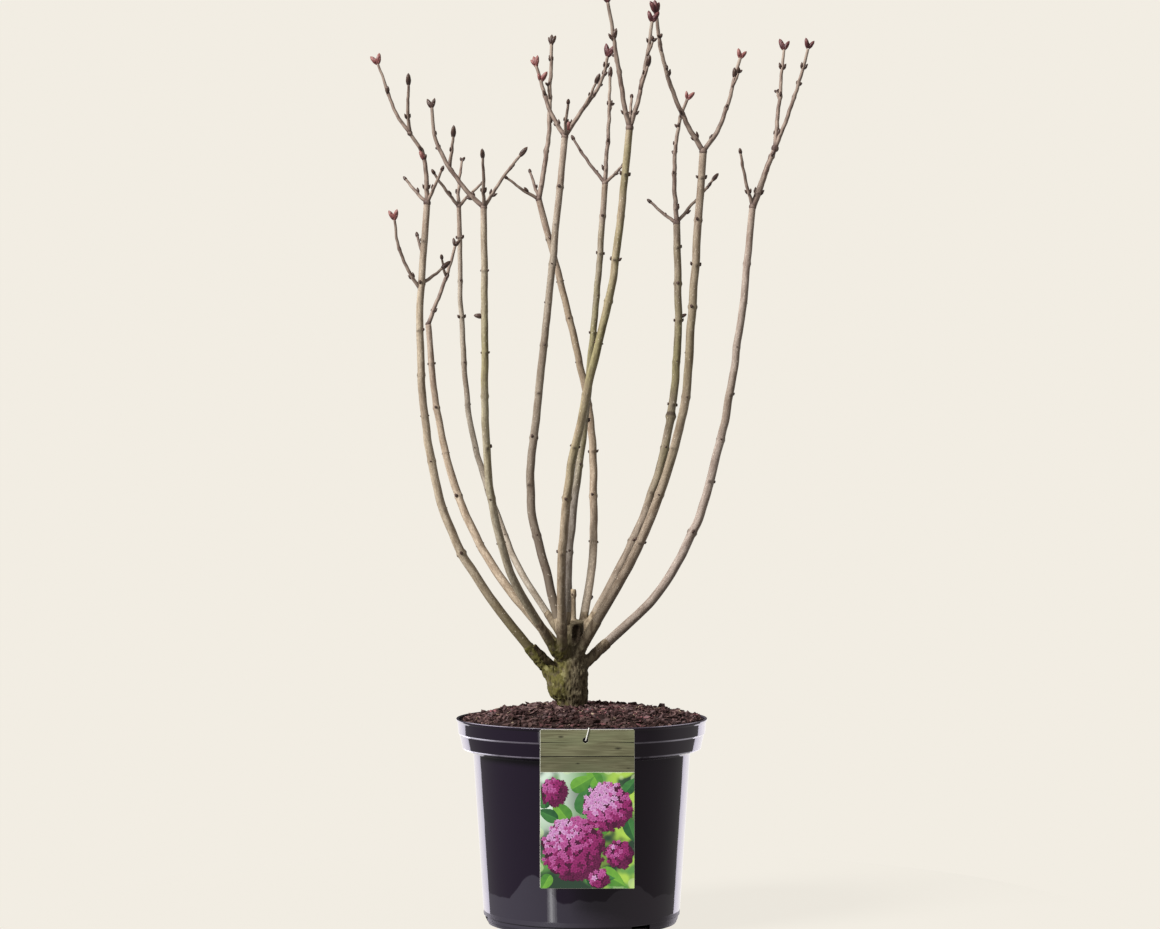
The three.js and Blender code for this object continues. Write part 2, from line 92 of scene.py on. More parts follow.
# `bark` is how far a stub's bark is a bough's, and `cut` how far its end is cut wood, up to 2.
STUBS = [
    {"ends": [(-26, -8, 278), (-53, -20, 309)], "thick": (5.6, 2.6), "bark": 0, "cut": 0},
    {"ends": [(-9, -2, 312), (-9, -5, 369)], "thick": (3.4, 2.4), "bark": 1, "cut": 1.6},
    {"ends": [(-9, -5, 364), (-9.5, -5, 371)], "thick": (3.1, 2.8), "bark": 1, "cut": 1.8},
    {"ends": [(-5.5, 0, 300), (-5.5, -9, 335)], "thick": (8.6, 7.6), "bark": 0, "cut": 0.12},
]
HOLLOW = {"ends": [(-6, -14, 317), (-6, -16, 326)], "radius": 5.2}
SWELLING = {"ends": [(-27, -3, 258), (-28, -3, 276)], "thick": (11, 12)}  # on the trunk's left

STATIONS = (0, 0.1, 0.24, 0.45, 0.7, 1)
SPRING_HEIGHT = 285
BOUGH_THINNING = 0.85


def bough_sizes(foot, fork, depth, thick, across, nodes, slim=1.0, knot=0, stain=0.44, **looks):
    """One bough's sizes; `nodes` is the height of its lowest pair of buds and which way that faces.

    `slim` is how slim its wood is drawn, `knot` the height of an old cut's swollen collar, if it has
    one, and `stain` how much more painted shade darkens its right side at its foot. `looks` are for
    bough_material.
    """
    return locals()


BOUGHS = {
    "far_left": bough_sizes(
        306, 797, -50, (6.6, 4.3), (-59, -97, -139, -168, -178, -170), (412, 1),
        slim=0.9, stain=0.25, algae=1.0, tone=(6, 3, -2),
    ),
    "short_left": bough_sizes(
        331, 670, 90, (5.6, 3.4), (-50, -80, -113, -144, -165, -176), (418, 0),
        slim=1.06, algae=0.5, tone=(6, 0, -4),
    ),
    "thin_left": bough_sizes(
        340, 810, 140, (4.8, 3), (-38, -69, -98, -128, -139, -143), (428, 1),
        slim=0.94, dark=0.12, tone=(0, 2, 4),
    ),
    "front_left": bough_sizes(
        335, 785, -130, (5.4, 3.8), (-48, -73, -92, -103, -104, -105), (424, 0),
        slim=0.98, green=0.7, dark=0.05, algae=0.7, tone=(2, 4, 0),
    ),
    "middle": bough_sizes(
        335, 880, 40, (6, 4.2), (-26, -40, -57, -49, -35, -19), (430, 1),
        slim=0.95, dark=0.2, dim=0.55, foot_dark=0.5,
    ),
    "back_leaning": bough_sizes(
        340, 819, 150, (5.4, 4), (3, 11, 14, 11, -13, -50), (420, 0),
        stain=0, green=0.2, dark=0.4, foot_dark=-0.6, tone=(6, 0, -4),
    ),
    "back_middle": bough_sizes(
        340, 834, 110, (5.2, 3.8), (-15, -15, -9, 4, 16, 27), (410, 1),
        slim=0.98, green=0.9, dark=0.4, tone=(-6, -2, 4),
    ),
    "front_leaning": bough_sizes(
        335, 868, -150, (6.3, 4.5), (-22, -22, -17, 3, 33, 51), (415, 0),
        slim=0.9, green=0.9, dark=0.28, pale_top=0.15, tone=(4, 0, -6),
    ),
    "back_right": bough_sizes(
        340, 789, 120, (6, 4.4), (15, 40, 70, 99, 111, 110), (422, 1),
        knot=565, stain=0.2, green=0.9, dark=0.74, pale_top=0.3,
    ),
    "front_right": bough_sizes(
        335, 847, -110, (6.4, 4.5), (16, 45, 78, 109, 120, 131), (426, 0),
        slim=0.96, green=0.4, dark=0.3, foot_dark=0.2, tone=(4, 0, -2),
    ),
    "far_right": bough_sizes(
        309, 799, 20, (6.5, 4.4), (27, 79, 121, 154, 176, 192), (434, 1),
        slim=0.93, green=0.1, dark=0.24, tone=(0, -2, 5),
    ),
}


def twig(leans, long, deep, thick=2.4, buds=1, on=None, at=1, end="dark", dark=0.0, bare=False):
    """One twig: leans in degrees from upright at root, middle and tip, and what it springs from.

    `end` is the kind of bud that it ends in, `dark` how dark its bark is drawn, partly darker bark and partly
    painted shade where it stands in the shade of other limbs, and a bare one has no side buds.
    """
    return locals()


TWIGS = {
    "far_left": [
        twig((4, -8, -42), 80, -8, thick=3.2),
        twig((-45, -41, -38), 36, 14, end="small"),
        twig((30, 27, 22), 38, -16, end="small"),
        twig((-40, -21, -18), 86, 12, buds=2, on=0, end="pink"),
        twig((-6, 0, 5), 52, -18, on=0),
    ],
    "short_left": [
        twig((20, 22, 14), 96, 16, thick=2.9, buds=2),
        twig((-20, -12, -6), 20, -16, thick=2, on=0, at=0.62, end="small"),
    ],
    "thin_left": [
        twig((-38, -37, -34), 46, -16, end="small"),
        twig((-2, 2, 14), 56, 30, buds=2, end="small"),
        twig((36, 42, 50), 38, 10, end="small"),
    ],
    "front_left": [
        twig((-48, -30, 0), 126, 14, thick=3, buds=2, dark=0.22),
        twig((0, 1, 2), 50, -38),
        twig((34, 35, 45), 68, -12),
        twig((14, 6, 4), 32, -14, on=0, at=0.46),
    ],
    "middle": [
        twig((-34, -19, -12), 90, 22, thick=3, buds=3, end="pink", dark=0.12),
        twig((6, 6, 6), 34, -30, end="small"),
        twig((32, 40, 4), 102, -16, thick=3, buds=2, end="red"),
        twig((32, 28, 24), 32, -16, on=2, at=0.36),
    ],
    "back_leaning": [
        twig((12, 3, 2), 184, 12, thick=3.4, buds=3),
        twig((-17, -17, -16), 36, 28, end="small", dark=0.4),
        twig((-64, -58, -54), 44, -12, end="small"),
    ],
    "back_middle": [
        twig((4, 3, 1), 126, 14, thick=2.9),
        twig((-38, -36, -28), 64, 20, end="small", dark=0.55),
        twig((49, 48, 44), 28, -10, end="small"),
    ],
    "front_leaning": [
        twig((-14, -8, -9), 134, -10, thick=3.2, buds=2, end="red", dark=0.16),
        twig((3, 3, 3), 36, 30, end="small"),
        twig((20, 12, 6), 118, 16, thick=3, buds=2, end="red"),
        twig((20, 17, 15), 26, -14, on=2, at=0.36),
    ],
    "back_right": [
        twig((-3, 1, 22), 144, -8, thick=3.2, buds=2, end="pink", dark=0.12),
        twig((-60, -47, -44), 39, 16, end="small", dark=0.3),
        twig((34, 42, 38), 68, 22),
    ],
    "front_right": [
        twig((-32, -19, -5), 158, -12, thick=3.2, buds=3, end="red"),
        twig((38, 17, 13), 112, 18, thick=3, buds=2, end="pink"),
    ],
    "far_right": [
        twig((21, 22, 24), 71, 6, thick=4.6),  # thicker than in the source
        twig((-14, -18, -5), 60, -20, end="small"),
        twig((5, 6, 5), 114, 18, thick=2.8, buds=2, on=0, end="red"),
        twig((22, 18, 12), 116, -14, thick=2.8, buds=2, on=0, end="red"),
    ],
}
SIDE_TWIGS = {
    "side_twig_outer": (0.805, twig((-36, -22, -4), 82, -18, buds=2, end="pink")),
    "side_twig_inner": (0.818, twig((55, 53, 48), 30, 10, bare=True)),
    "side_twig_short": (0.885, twig((-24, -18, -12), 22, 12, end="small", dark=0.3)),
}
SIDE_TWIGS_BOUGH = "far_left"

TWIG = {"step": 26, "taper": 0.64, "waver": 2, "first_node": 16, "node_spacing": 40, "spur_from": 100}
END_BUD_SPREAD = 26
END_BUDS = {
    "red": {"long": 15, "thick": 3.0, "colour": "red"},
    "pink": {"long": 13, "thick": 2.7, "colour": "pink"},
    "dark": {"long": 12.5, "thick": 2.5, "colour": "brown"},
    "small": {"long": 7, "thick": 1.9, "colour": "brown"},
}
SIDE_BUD = {"long": 6.6, "thick": 1.6}
SPUR = {"long": 20, "thick": 1.7, "spread": 48, "between": (0.45, 0.75), "room": 9}
CROWN = {"half_width": 262, "half_depth": 190, "top": 1016}

LABEL = {"middle": 5.9, "width": 101, "top": 226.5, "height": 170, "thickness": 1}
LABEL_HOLE = {"radius": 3, "below": 11.5, "aside": -2}

SEEDS = {"twigs": 11, "side_twigs": 41, "extra_buds": 61, "flowers": 91}
SOIL_SEEDS = {"crumbs": 71, "fibres": 75, "clods": 76}
# Added to a limb's own seed for what only the scene has.
FINE_SEEDS = {"nodes": 900, "twigs": 500, "bough_buds": 300}

# ---- Shapes in progress ----


class Shape:
    """Points in millimetres, the faces between them, and two values kept at each point.

    `straight` is where the point would be if its limb were straight, so that bark runs along it.
    `tint` is how far the point's colour turns to its material's second colour, and `young` how far
    it turns to that of young wood, or on the trunk to the boughs' bark at 1 and to cut wood at 2.
    """

    def __init__(self, points, faces, straight=None, tint=None, young=None):
        self.points = np.asarray(points, float).reshape(-1, 3)
        self.faces = faces
        self.straight = self.points if straight is None else straight
        self.tint = np.zeros(len(self.points)) if tint is None else np.ravel(tint)
        self.young = np.zeros(len(self.points)) if young is None else np.ravel(young)


def joined(shapes):
    starts = np.cumsum([0] + [len(shape.points) for shape in shapes]).tolist()
    faces = [tuple(i + start for i in face) for shape, start in zip(shapes, starts) for face in shape.faces]
    kept = ("points", "straight", "tint", "young")
    points, *values = [np.concatenate([getattr(shape, name) for shape in shapes]) for name in kept]
    return Shape(points, faces, *values)


def place_object(name, data):
    made = bpy.data.objects.new(name, data)
    bpy.context.scene.collection.objects.link(made)
    return made


def mesh_object(name, points, faces):
    mesh = bpy.data.meshes.new(name)
    mesh.from_pydata((points * MM).tolist(), [], faces)
    return place_object(name, mesh)


def piece(name, shape, material, slot, replaced=(), smooth=True):
    """Makes a Blender object of a shape, which rides on the plant and stands for the given CAD nodes."""
    made = mesh_object(name, shape.points, shape.faces)
    attributes = made.data.attributes
    straight = attributes.new("straight", "FLOAT_VECTOR", "POINT")
    straight.data.foreach_set("vector", (shape.straight * MM).ravel())
    attributes.new("tint", "FLOAT", "POINT").data.foreach_set("value", shape.tint)
    attributes.new("young", "FLOAT", "POINT").data.foreach_set("value", shape.young)
    if smooth:
        made.data.shade_smooth()
    made.data.materials.append(material)
    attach(made, "root")
    if replaced:
        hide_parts(*replaced)
    return made


# ---- Shared geometry ----


def unit(vectors):
    return vectors / np.linalg.norm(vectors, axis=-1, keepdims=True)


def lerp(a, b, share):
    return a + (b - a) * share


def bearings(count):
    """That many bearings all round."""
    return np.linspace(0, 2 * math.pi, count, endpoint=False)


def dice(seed):
    """The source's seeded stream of numbers from 0 to 1."""
    state = seed

    def roll():
        nonlocal state
        state = (state * 1664525 + 1013904223) % 4294967296
        return state / 4294967296

    return roll


def smoothed(stations, values, shares):
    """A smooth line through `values`, which stand at the stations, read at each of the shares."""
    stations = np.array(stations, float)
    values = np.array(values, float)
    slopes = np.gradient(values, stations)
    i = np.clip(np.searchsorted(stations, shares) - 1, 0, len(values) - 2)
    span = stations[i + 1] - stations[i]
    u = (shares - stations[i]) / span
    line = (
        (2 * u**3 - 3 * u**2 + 1) * values[i]
        + (u**3 - 2 * u**2 + u) * span * slopes[i]
        + (3 * u**2 - 2 * u**3) * values[i + 1]
        + (u**3 - u**2) * span * slopes[i + 1]
    )
    return np.where(u < 0, values[0] + slopes[0] * (shares - stations[0]), line)


def ripple(points, size, octaves=3):
    """Smooth noise of about -1 to 1 at each point, with swells of that size."""
    return np.array([noise.fractal(Vector(p), 1.0, 2.0, octaves) for p in np.asarray(points) / size])


def grid_faces(rows, columns, wrapped=False):
    """Quads between the points of a grid that holds row after row."""
    faces = []
    for i in range(rows - 1):
        for k in range(columns if wrapped else columns - 1):
            a = i * columns + k
            b = i * columns + (k + 1) % columns
            faces.append((a, b, b + columns, a + columns))
    return faces


def tube_faces(rows, columns):
    """The faces of a closed tube: those of a grid that is wrapped round, and one over each end."""
    size = rows * columns
    ends = [tuple(range(columns))[::-1], tuple(range(size - columns, size))]
    return grid_faces(rows, columns, True) + ends


def turned_out(faces):
    """The same faces, seen from their other side."""
    return [face[::-1] for face in faces]


def rings(radii, heights, sides):
    """The points of level rings round Z, ring after ring."""
    turn = bearings(sides)
    across = np.outer(radii, np.cos(turn))
    back = np.outer(radii, np.sin(turn))
    return np.stack([across, back, np.outer(heights, np.ones(sides))], -1).reshape(-1, 3)


def sweep_sides(points):
    """At each point of a line, two directions square to it that don't twist."""
    ahead = unit(np.gradient(points, axis=0))
    side = np.array([0.0, 1.0, 0.0])
    sides = []
    for direction in ahead:
        side = unit(side - direction * (side @ direction))
        sides.append(side)
    return np.array(sides), np.cross(ahead, sides)


def arc_lengths(points):
    steps = np.linalg.norm(np.diff(points, axis=0), axis=1)
    return np.concatenate([[0], np.cumsum(steps)])


def tube(points, radii, sides, tint=None, young=None):
    """A closed tube along the points. `radii` has one row for each point, and one column or one a side."""
    points = np.asarray(points, float)
    side, other = sweep_sides(points)
    turn = bearings(sides)[None, :, None]
    spokes = np.cos(turn) * side[:, None, :] + np.sin(turn) * other[:, None, :]
    radii = np.broadcast_to(np.asarray(radii, float).reshape(len(points), -1), (len(points), sides))
    corners = points[:, None, :] + spokes * radii[:, :, None]
    straight = rings([radii.mean()] * len(points), arc_lengths(points), sides)
    young = None if young is None else np.repeat(young, sides)
    return Shape(corners, tube_faces(len(points), sides), straight, tint, young)


def point_on(line, share):
    position = share * (len(line) - 1)
    i = min(int(position), len(line) - 2)
    return lerp(line[i], line[i + 1], position - i)


def rounded_line(line, pieces):
    """A smooth line through the points of a coarse one, with that many pieces for each of its own."""
    line = np.asarray(line)
    padded = np.vstack([2 * line[0] - line[1], line, 2 * line[-1] - line[-2]])
    u = (np.arange(pieces) / pieces)[:, None]
    fine = []
    for a, b, c, d in zip(padded, padded[1:], padded[2:], padded[3:]):
        bend = u**2 * (a - 2.5 * b + 2 * c - 0.5 * d) + u**3 * (1.5 * b - 1.5 * c + 0.5 * d - 0.5 * a)
        fine.append(b + 0.5 * u * (c - a) + bend)
    return np.vstack(fine + [line[-1]])


def aside(along, spread, turn):
    """A direction turned away from `along` by `spread` degrees, towards the bearing `turn` round it."""
    across = unit(np.cross([0, 1, 0], along))
    out = across * math.cos(turn) + np.cross(along, across) * math.sin(turn)
    return along * math.cos(math.radians(spread)) + out * math.sin(math.radians(spread))


def turning(axis, angle):
    """The matrix that turns rows of points about X, Y or Z, which are 0, 1 and 2."""
    one = (axis + 1) % 3
    two = (axis + 2) % 3
    matrix = np.eye(3)
    matrix[one, one] = matrix[two, two] = math.cos(angle)
    matrix[one, two] = math.sin(angle)
    matrix[two, one] = -math.sin(angle)
    return matrix


# ---- Materials ----


def linear(colour, share=1.0):
    """A colour made linear, and dimmed to a share of its light."""
    parts = [((c / 255 + 0.055) / 1.055) ** 2.4 if c > 10 else c / 3295 for c in colour]
    return tuple(share * part for part in parts) + (1.0,)


class Shader:
    """A material's nodes, made by name and wired by short calls. `base` is its colour so far.

    Noise runs along the limb where `limb` is set, and in the object's own space otherwise.
    """

    def __init__(self, name, roughness, specular=0.5, limb=False):
        self.material = bpy.data.materials.new(name)
        self.material.use_nodes = True
        self.tree = self.material.node_tree
        self.surface = self.tree.nodes["Principled BSDF"].inputs
        self.surface["Roughness"].default_value = roughness
        self.surface["Specular IOR Level"].default_value = specular
        self.limb = limb

    def node(self, kind, inputs=None, **settings):
        made = self.tree.nodes.new("ShaderNode" + kind)
        for key, value in settings.items():
            setattr(made, key, value)
        for socket, value in (inputs or {}).items():
            self.feed(made.inputs[socket], value)
        return made

    def feed(self, socket, value):
        if isinstance(value, bpy.types.NodeSocket):
            self.tree.links.new(value, socket)
        else:
            socket.default_value = value

    def place(self, stretch=(1, 1, 1), limb=False):
        """Coordinates in metres, the object's own or along its limb, squeezed by `stretch`."""
        if limb:
            raw = self.node("Attribute", attribute_name="straight").outputs["Vector"]
        else:
            raw = self.node("TexCoord").outputs["Object"]
        return self.node("Mapping", {"Vector": raw, "Scale": stretch}).outputs["Vector"]

    def axis(self, name):
        """The object's own X, Y or Z."""
        return self.node("SeparateXYZ", {"Vector": self.place()}).outputs[name]

    def kept(self, name):
        """The value of that name that the piece keeps at its points."""
        return self.node("Attribute", attribute_name=name).outputs["Fac"]

    def noise(self, size, across=1, along=1, detail=3.0):
        """Noise with swells of `size` millimetres, drawn out across or along where those are below 1."""
        place = self.place((across, 1, along), self.limb)
        inputs = {"Vector": place, "Scale": 1 / (size * MM), "Detail": detail}
        return self.node("TexNoise", inputs).outputs["Fac"]

    def cells(self, size, along=1):
        """Cells of about `size` millimetres, drawn out along where that is below 1."""
        inputs = {"Vector": self.place((1, 1, along), self.limb), "Scale": 1 / (size * MM)}
        return self.node("TexVoronoi", inputs).outputs

    def steps(self, value, low, high):
        """The value made 0 at `low` and before it, and 1 at `high` and beyond it."""
        inputs = {"Value": value, "From Min": low, "From Max": high}
        return self.node("MapRange", inputs, interpolation_type="SMOOTHSTEP").outputs["Result"]

    def patches(self, size, low, high, **spread):
        """Noise in steps."""
        return self.steps(self.noise(size, **spread), low, high)

    def ramp(self, axis, low, high):
        """0 at one place along an axis and 1 at the other."""
        return self.steps(self.axis(axis), low, high)

    def both_sides(self, inner, outer):
        """0 near the middle and 1 far out to the left and right."""
        return self.plus(self.ramp("X", -inner, -outer), self.ramp("X", inner, outer))

    def math(self, operation, *values, clamped=True):
        made = self.node("Math", operation=operation, use_clamp=clamped)
        for socket, value in zip(made.inputs, values):
            self.feed(socket, value)
        return made.outputs[0]

    def plus(self, first, second):
        return self.math("ADD", first, second)

    def minus(self, first, second):
        return self.math("SUBTRACT", first, second)

    def times(self, product, *factors):
        for factor in factors:
            product = self.math("MULTIPLY", product, factor)
        return product

    def mix(self, share, first, second):
        """From the first colour to the second; a colour of four numbers is linear already."""
        made = self.node("Mix", data_type="RGBA")
        self.feed(made.inputs[0], share)
        for socket, colour in ((6, first), (7, second)):
            as_shown = isinstance(colour, tuple) and len(colour) == 3
            self.feed(made.inputs[socket], linear(colour) if as_shown else colour)
        return made.outputs[2]

    def paint(self, colour, share, strength=1.0):
        """Mixes a colour over the base."""
        if strength != 1:
            share = self.times(share, strength)
        self.base = self.mix(share, self.base, colour)

    def bump(self, value, depth):
        """Raises the surface by up to `depth` millimetres where the value is 1."""
        raised = self.node("Bump", {"Height": value, "Distance": depth * MM, "Strength": 1.0})
        self.feed(self.surface["Normal"], raised.outputs["Normal"])

    def done(self, tinted=None):
        """The material, with its colour turned to `tinted` where the piece has a tint."""
        if tinted:
            self.paint(tinted, self.kept("tint"))
        self.feed(self.surface["Base Color"], self.base)
        return self.material


def bough_material(name, green=0, dark=0, algae=0.2, tone=(0, 0, 0), dim=0, foot_dark=0, pale_top=0.7):
    """Smooth grey-beige bark with faint streaks and lenticels, olive where it is green, and algae low down.

    `dim` is how much browner the lower half is, `foot_dark` how much painted shade darkens the foot, or below
    0 how much painted light pales it, `pale_top` how much paler the young wood at the top is, and `tone` is
    added to the greys.
    """

    def darkened(pale, deep, tone=(0, 0, 0)):
        return linear(lerp(np.array(pale), np.array(deep), dark) + tone)

    look = Shader(name, 0.7, 0.2, limb=True)
    streaks = look.patches(4.5, 0.36, 0.68, along=0.2, detail=5.0)
    look.base = darkened((192, 179, 160), (152, 136, 120), tone)
    look.paint(darkened((144, 128, 109), (100, 85, 73), tone), streaks, 0.8)
    look.paint((124, 103, 88), look.patches(46, 0.46, 0.64, along=0.5), 0.45)
    if dim:
        look.paint((96, 82, 72), look.ramp("Z", 0.66, 0.46), dim)
    # Painted shade at the foot, or painted light there where foot_dark is below 0.
    if foot_dark:
        at_foot = (66, 54, 47) if foot_dark > 0 else (236, 220, 198)
        look.paint(at_foot, look.ramp("Z", 0.47, 0.37), abs(foot_dark))
    olive = darkened((166, 158, 112), (140, 132, 94))
    deep_olive = darkened((124, 116, 76), (98, 92, 64))
    high_patches = look.times(look.patches(38, 0.34, 0.62, along=0.4), look.ramp("Z", 0.40, 0.56))
    look.paint(look.mix(streaks, olive, deep_olive), look.times(high_patches, green))
    look.paint(look.mix(streaks, (190, 172, 156), (150, 126, 114)), look.kept("young"), pale_top)
    algae_colour = look.mix(look.noise(4, detail=5.0), (96, 87, 60), (142, 131, 94))
    look.paint(algae_colour, look.ramp("Z", 0.40, 0.31), algae)
    look.paint((98, 82, 68), look.patches(1.5, 0.3, 0.72, along=0.6, detail=5.0), 0.42)
    lenticels = look.steps(look.cells(4.2, along=0.7)["Distance"], 0.17, 0.1)
    look.paint((216, 203, 184), lenticels, 0.6)
    look.bump(look.plus(look.noise(1.6, along=0.3), lenticels), 0.3)
    return look.done((58, 43, 36))


def trunk_material():
    """Old fissured bark: dark grey-brown, with green-yellow algae on its left side and painted light in paler
    patches on its right.
    """
    look = Shader("old_bark", 0.88, 0.15, limb=True)
    kind = look.kept("young")
    cracks = look.patches(3.4, 0.36, 0.64, along=0.35, detail=8.0)
    look.base = look.mix(cracks, (74, 64, 48), (110, 100, 79))
    look.paint((146, 138, 112), look.patches(1.6, 0.60, 0.68, along=0.7), 0.6)
    streaks = look.patches(4.5, 0.36, 0.66, along=0.3, detail=5.0)
    look.paint(look.mix(streaks, (164, 148, 124), (114, 98, 80)), kind)
    blotches = look.patches(6, 0.30, 0.52, along=0.6, detail=6.0)
    algae = look.mix(look.noise(2.0, detail=6.0), (60, 55, 26), (118, 112, 60))
    lichen = look.times(look.patches(7, 0.56, 0.66, along=0.8, detail=2.0), 0.6)
    left = look.times(look.minus(look.ramp("X", -0.008, -0.024), kind), look.ramp("Z", 0.330, 0.306))
    look.paint(look.mix(lichen, algae, (158, 152, 106)), look.times(left, blotches))
    # Painted light: paler, cooler patches on the right side of the trunk's old bark.
    damp = look.times(look.ramp("X", 0.002, 0.010), look.times(blotches, 0.35))
    look.paint((92, 98, 76), look.minus(damp, kind))
    look.paint(look.mix(streaks, (190, 172, 144), (140, 120, 92)), look.steps(kind, 1.2, 1.8))
    look.bump(look.noise(1.1, along=0.4, detail=8.0), 0.5)
    return look.done((44, 33, 23))


def twig_material():
    """Purplish brown young bark with a grey bloom and dark nodes."""
    look = Shader("young_bark", 0.58, 0.25, limb=True)
    streaks = look.patches(2.2, 0.36, 0.66, along=0.2, detail=5.0)
    look.base = look.mix(streaks, (154, 134, 120), (104, 84, 76))
    look.paint((176, 160, 144), look.patches(16, 0.40, 0.62, along=0.5), 0.6)
    look.bump(look.noise(1.0, along=0.2), 0.15)
    return look.done((62, 40, 38))


def bud_material(name, scale, margin):
    """Bud scales, darker or paler towards their tips."""
    look = Shader(name, 0.42, 0.4)
    veins = look.patches(0.9, 0.35, 0.65, along=0.5)
    look.base = look.mix(veins, scale, linear(scale, 0.72))
    look.bump(veins, 0.06)
    return look.done(margin)


def pot_material():
    """Glossy near-black plastic with fine moulding marks, painted highlights on its ledges and lip, painted
    light on its right side and a painted reflection of the floor at its foot.
    """
    look = Shader("pot_plastic", 0.1)
    look.surface["IOR"].default_value = 1.36
    # Painted light: the body's base colour is lighter on the right.
    rightward = look.ramp("X", -0.03, 0.07)
    look.base = look.mix(rightward, (26, 18, 32), (35, 24, 37))
    # Painted light: the lip bands are paler on the right.
    look.paint((66, 59, 68), look.times(look.ramp("X", 0.070, 0.112), look.ramp("Z", 0.188, 0.192)))
    # Painted reflection: a paler band round the foot stands for the floor mirrored in the plastic; its top
    # edge waves round the pot and is ragged.
    turns = look.math("MULTIPLY_ADD", look.axis("X"), 2 * math.pi / 0.105, math.pi, clamped=False)
    peak_height = look.math("MULTIPLY_ADD", look.axis("X"), -0.1, 0.0225, clamped=False)
    tide = look.minus(look.axis("Z"), look.times(look.math("COSINE", turns), peak_height))
    ragged = look.plus(tide, look.times(look.noise(26, along=0.8, detail=2.0), 0.014))
    look.paint(look.mix(rightward, (52, 48, 58), (62, 55, 64)), look.steps(ragged, 0.0452, 0.0430))
    # Painted highlight: pale lines along the ledges' edges, near white towards the left and right and patchy
    # elsewhere.
    flanks = look.both_sides(0.080, 0.118)
    edging = look.mix(flanks, (120, 113, 126), (226, 222, 238))
    for low, high in POT_LEDGES:
        above = look.ramp("Z", (low - 0.5) * MM, low * MM)
        below = look.ramp("Z", (high + 0.5) * MM, high * MM)
        wear = look.plus(flanks, look.patches(30, 0.3, 0.5))
        look.paint(edging, look.times(look.times(above, below), wear))
    lip = look.ramp("Z", 0.2262, 0.2268)
    # Painted highlight along the front of the lip's top edge, brighter towards the sides.
    worn = look.mix(look.both_sides(0.072, 0.088), (104, 94, 108), (188, 180, 196))
    look.paint(worn, look.times(lip, look.ramp("Y", -0.045, -0.080)), 0.6)
    smears = {"Value": look.noise(34, along=0.35, detail=5.0), "To Min": 0.02, "To Max": 0.09}
    rough_edges = look.plus(look.times(look.ramp("Z", 0.0152, 0.0136), 0.4), look.times(lip, 0.5))
    roughness = look.plus(look.node("MapRange", smears).outputs["Result"], rough_edges)
    look.feed(look.surface["Roughness"], roughness)
    look.bump(look.noise(60), 0.3)
    return look.done()


def soil_material(name, light, dark):
    look = Shader(name, 0.95, 0.15)
    look.base = look.mix(look.patches(3, 0.35, 0.65, detail=5.0), dark, light)
    look.paint((138, 116, 116), look.patches(11, 0.54, 0.66, detail=2.0), 0.45)
    # Painted shade: darker towards the front, where the lip shades the soil.
    look.paint((46, 32, 28), look.ramp("Y", -0.055, -0.100), 0.6)
    look.bump(look.noise(0.9, detail=5.0), 0.5)
    return look.done()


# ---- Boughs ----


def along_bough(bough, share):
    """The middle of a bough at a share of the way from its foot to its fork, or at each of many."""
    height = lerp(bough["foot"], bough["fork"], share)
    risen = (height - SPRING_HEIGHT) / (bough["fork"] - SPRING_HEIGHT)
    outward = 1 - (1 - np.maximum(0, risen)) ** 3
    return np.stack([smoothed(STATIONS, bough["across"], share), bough["depth"] * outward, height], -1)


def bough_thickness(bough, share):
    return lerp(*bough["thick"], np.maximum(0, share) ** BOUGH_THINNING)


LONG_BUDS = [
    # Bough, height, bearing from +X, lean from the bough, size.
    ("front_left", 668, 180, 82, {"long": 10, "thick": 2.6}),
    ("back_right", 679, 0, 62, {"long": 8, "thick": 2.0}),
    ("back_leaning", 356, 20, 40, {"long": 8, "thick": 2.4}),
]
STUB_BUD = {"root": (-10, -6.5, 364.5), "direction": (-0.5, -0.8, 0.33), "size": {"long": 3.4, "thick": 1.6}}
NODE_SPACING = (56, 44)  # between pairs of buds, low and high on a bough
MISSING_BUDS = 0.3  # the share of the small buds that have dropped
BOUGH_SLIMNESS = (0.9, 0.93)  # of the solid's girth, low and high on a bough, before its relief
BOUGH_STEP = 1.8
BOUGH_SIDES = 26
BOUGH_SUNK = 12  # how far it goes on into the trunk
BOUGH_TOP = 22  # how far below its fork its last buds stand
YOUNG_WOOD = 130  # how far down from the fork the bark is that of young wood
# The way a limb faces where its bark gets painted shade.
SHADED_SIDE = np.array([0.8, 0.2, -0.5])


def bough_girth(bough, share):
    """How thick the bough's wood is before its relief, a little less than its solid."""
    return bough["slim"] * lerp(*BOUGH_SLIMNESS, np.maximum(0, share)) * bough_thickness(bough, share)


def bough_nodes(bough, seed):
    """The share of the bough's height, the bearing and the size of each of its pairs of buds."""
    fine = dice(seed + FINE_SEEDS["nodes"])
    height, quarter = bough["nodes"]
    nodes = []
    while height < bough["fork"] - BOUGH_TOP:
        share = (height - bough["foot"]) / (bough["fork"] - bough["foot"])
        nodes.append((share, quarter * math.pi / 2 + 0.9 * (fine() - 0.5), lerp(0.3, 1.3, fine())))
        height += lerp(*NODE_SPACING, share) * lerp(0.9, 1.1, fine())
        quarter += 1
    return nodes


def bark_relief(straight, ridge, seed):
    """How far bark stands out: low ridges along the limb, and slow swells."""
    moved = straight + seed * 100
    ridges = ripple(moved * (1, 1, 0.14), 3.2, 2)
    swells = ripple(moved * (1, 1, 0.4), 12, 2)
    return ridge * (0.5 * ridges + 1.1 * swells)


def at_nodes(lengths, sides, nodes, width, sharpness):
    """About 1 where a bud sits on a limb, falling to 0. `nodes` holds lengths, bearings and sizes."""
    most = np.zeros((len(lengths), sides))
    for length, bearing, size in nodes:
        near = size * np.exp(-(((lengths - length) / width) ** 2))
        facing = np.abs(np.cos(bearings(sides) - bearing)) ** sharpness
        most = np.maximum(most, np.outer(near, facing))
    return most


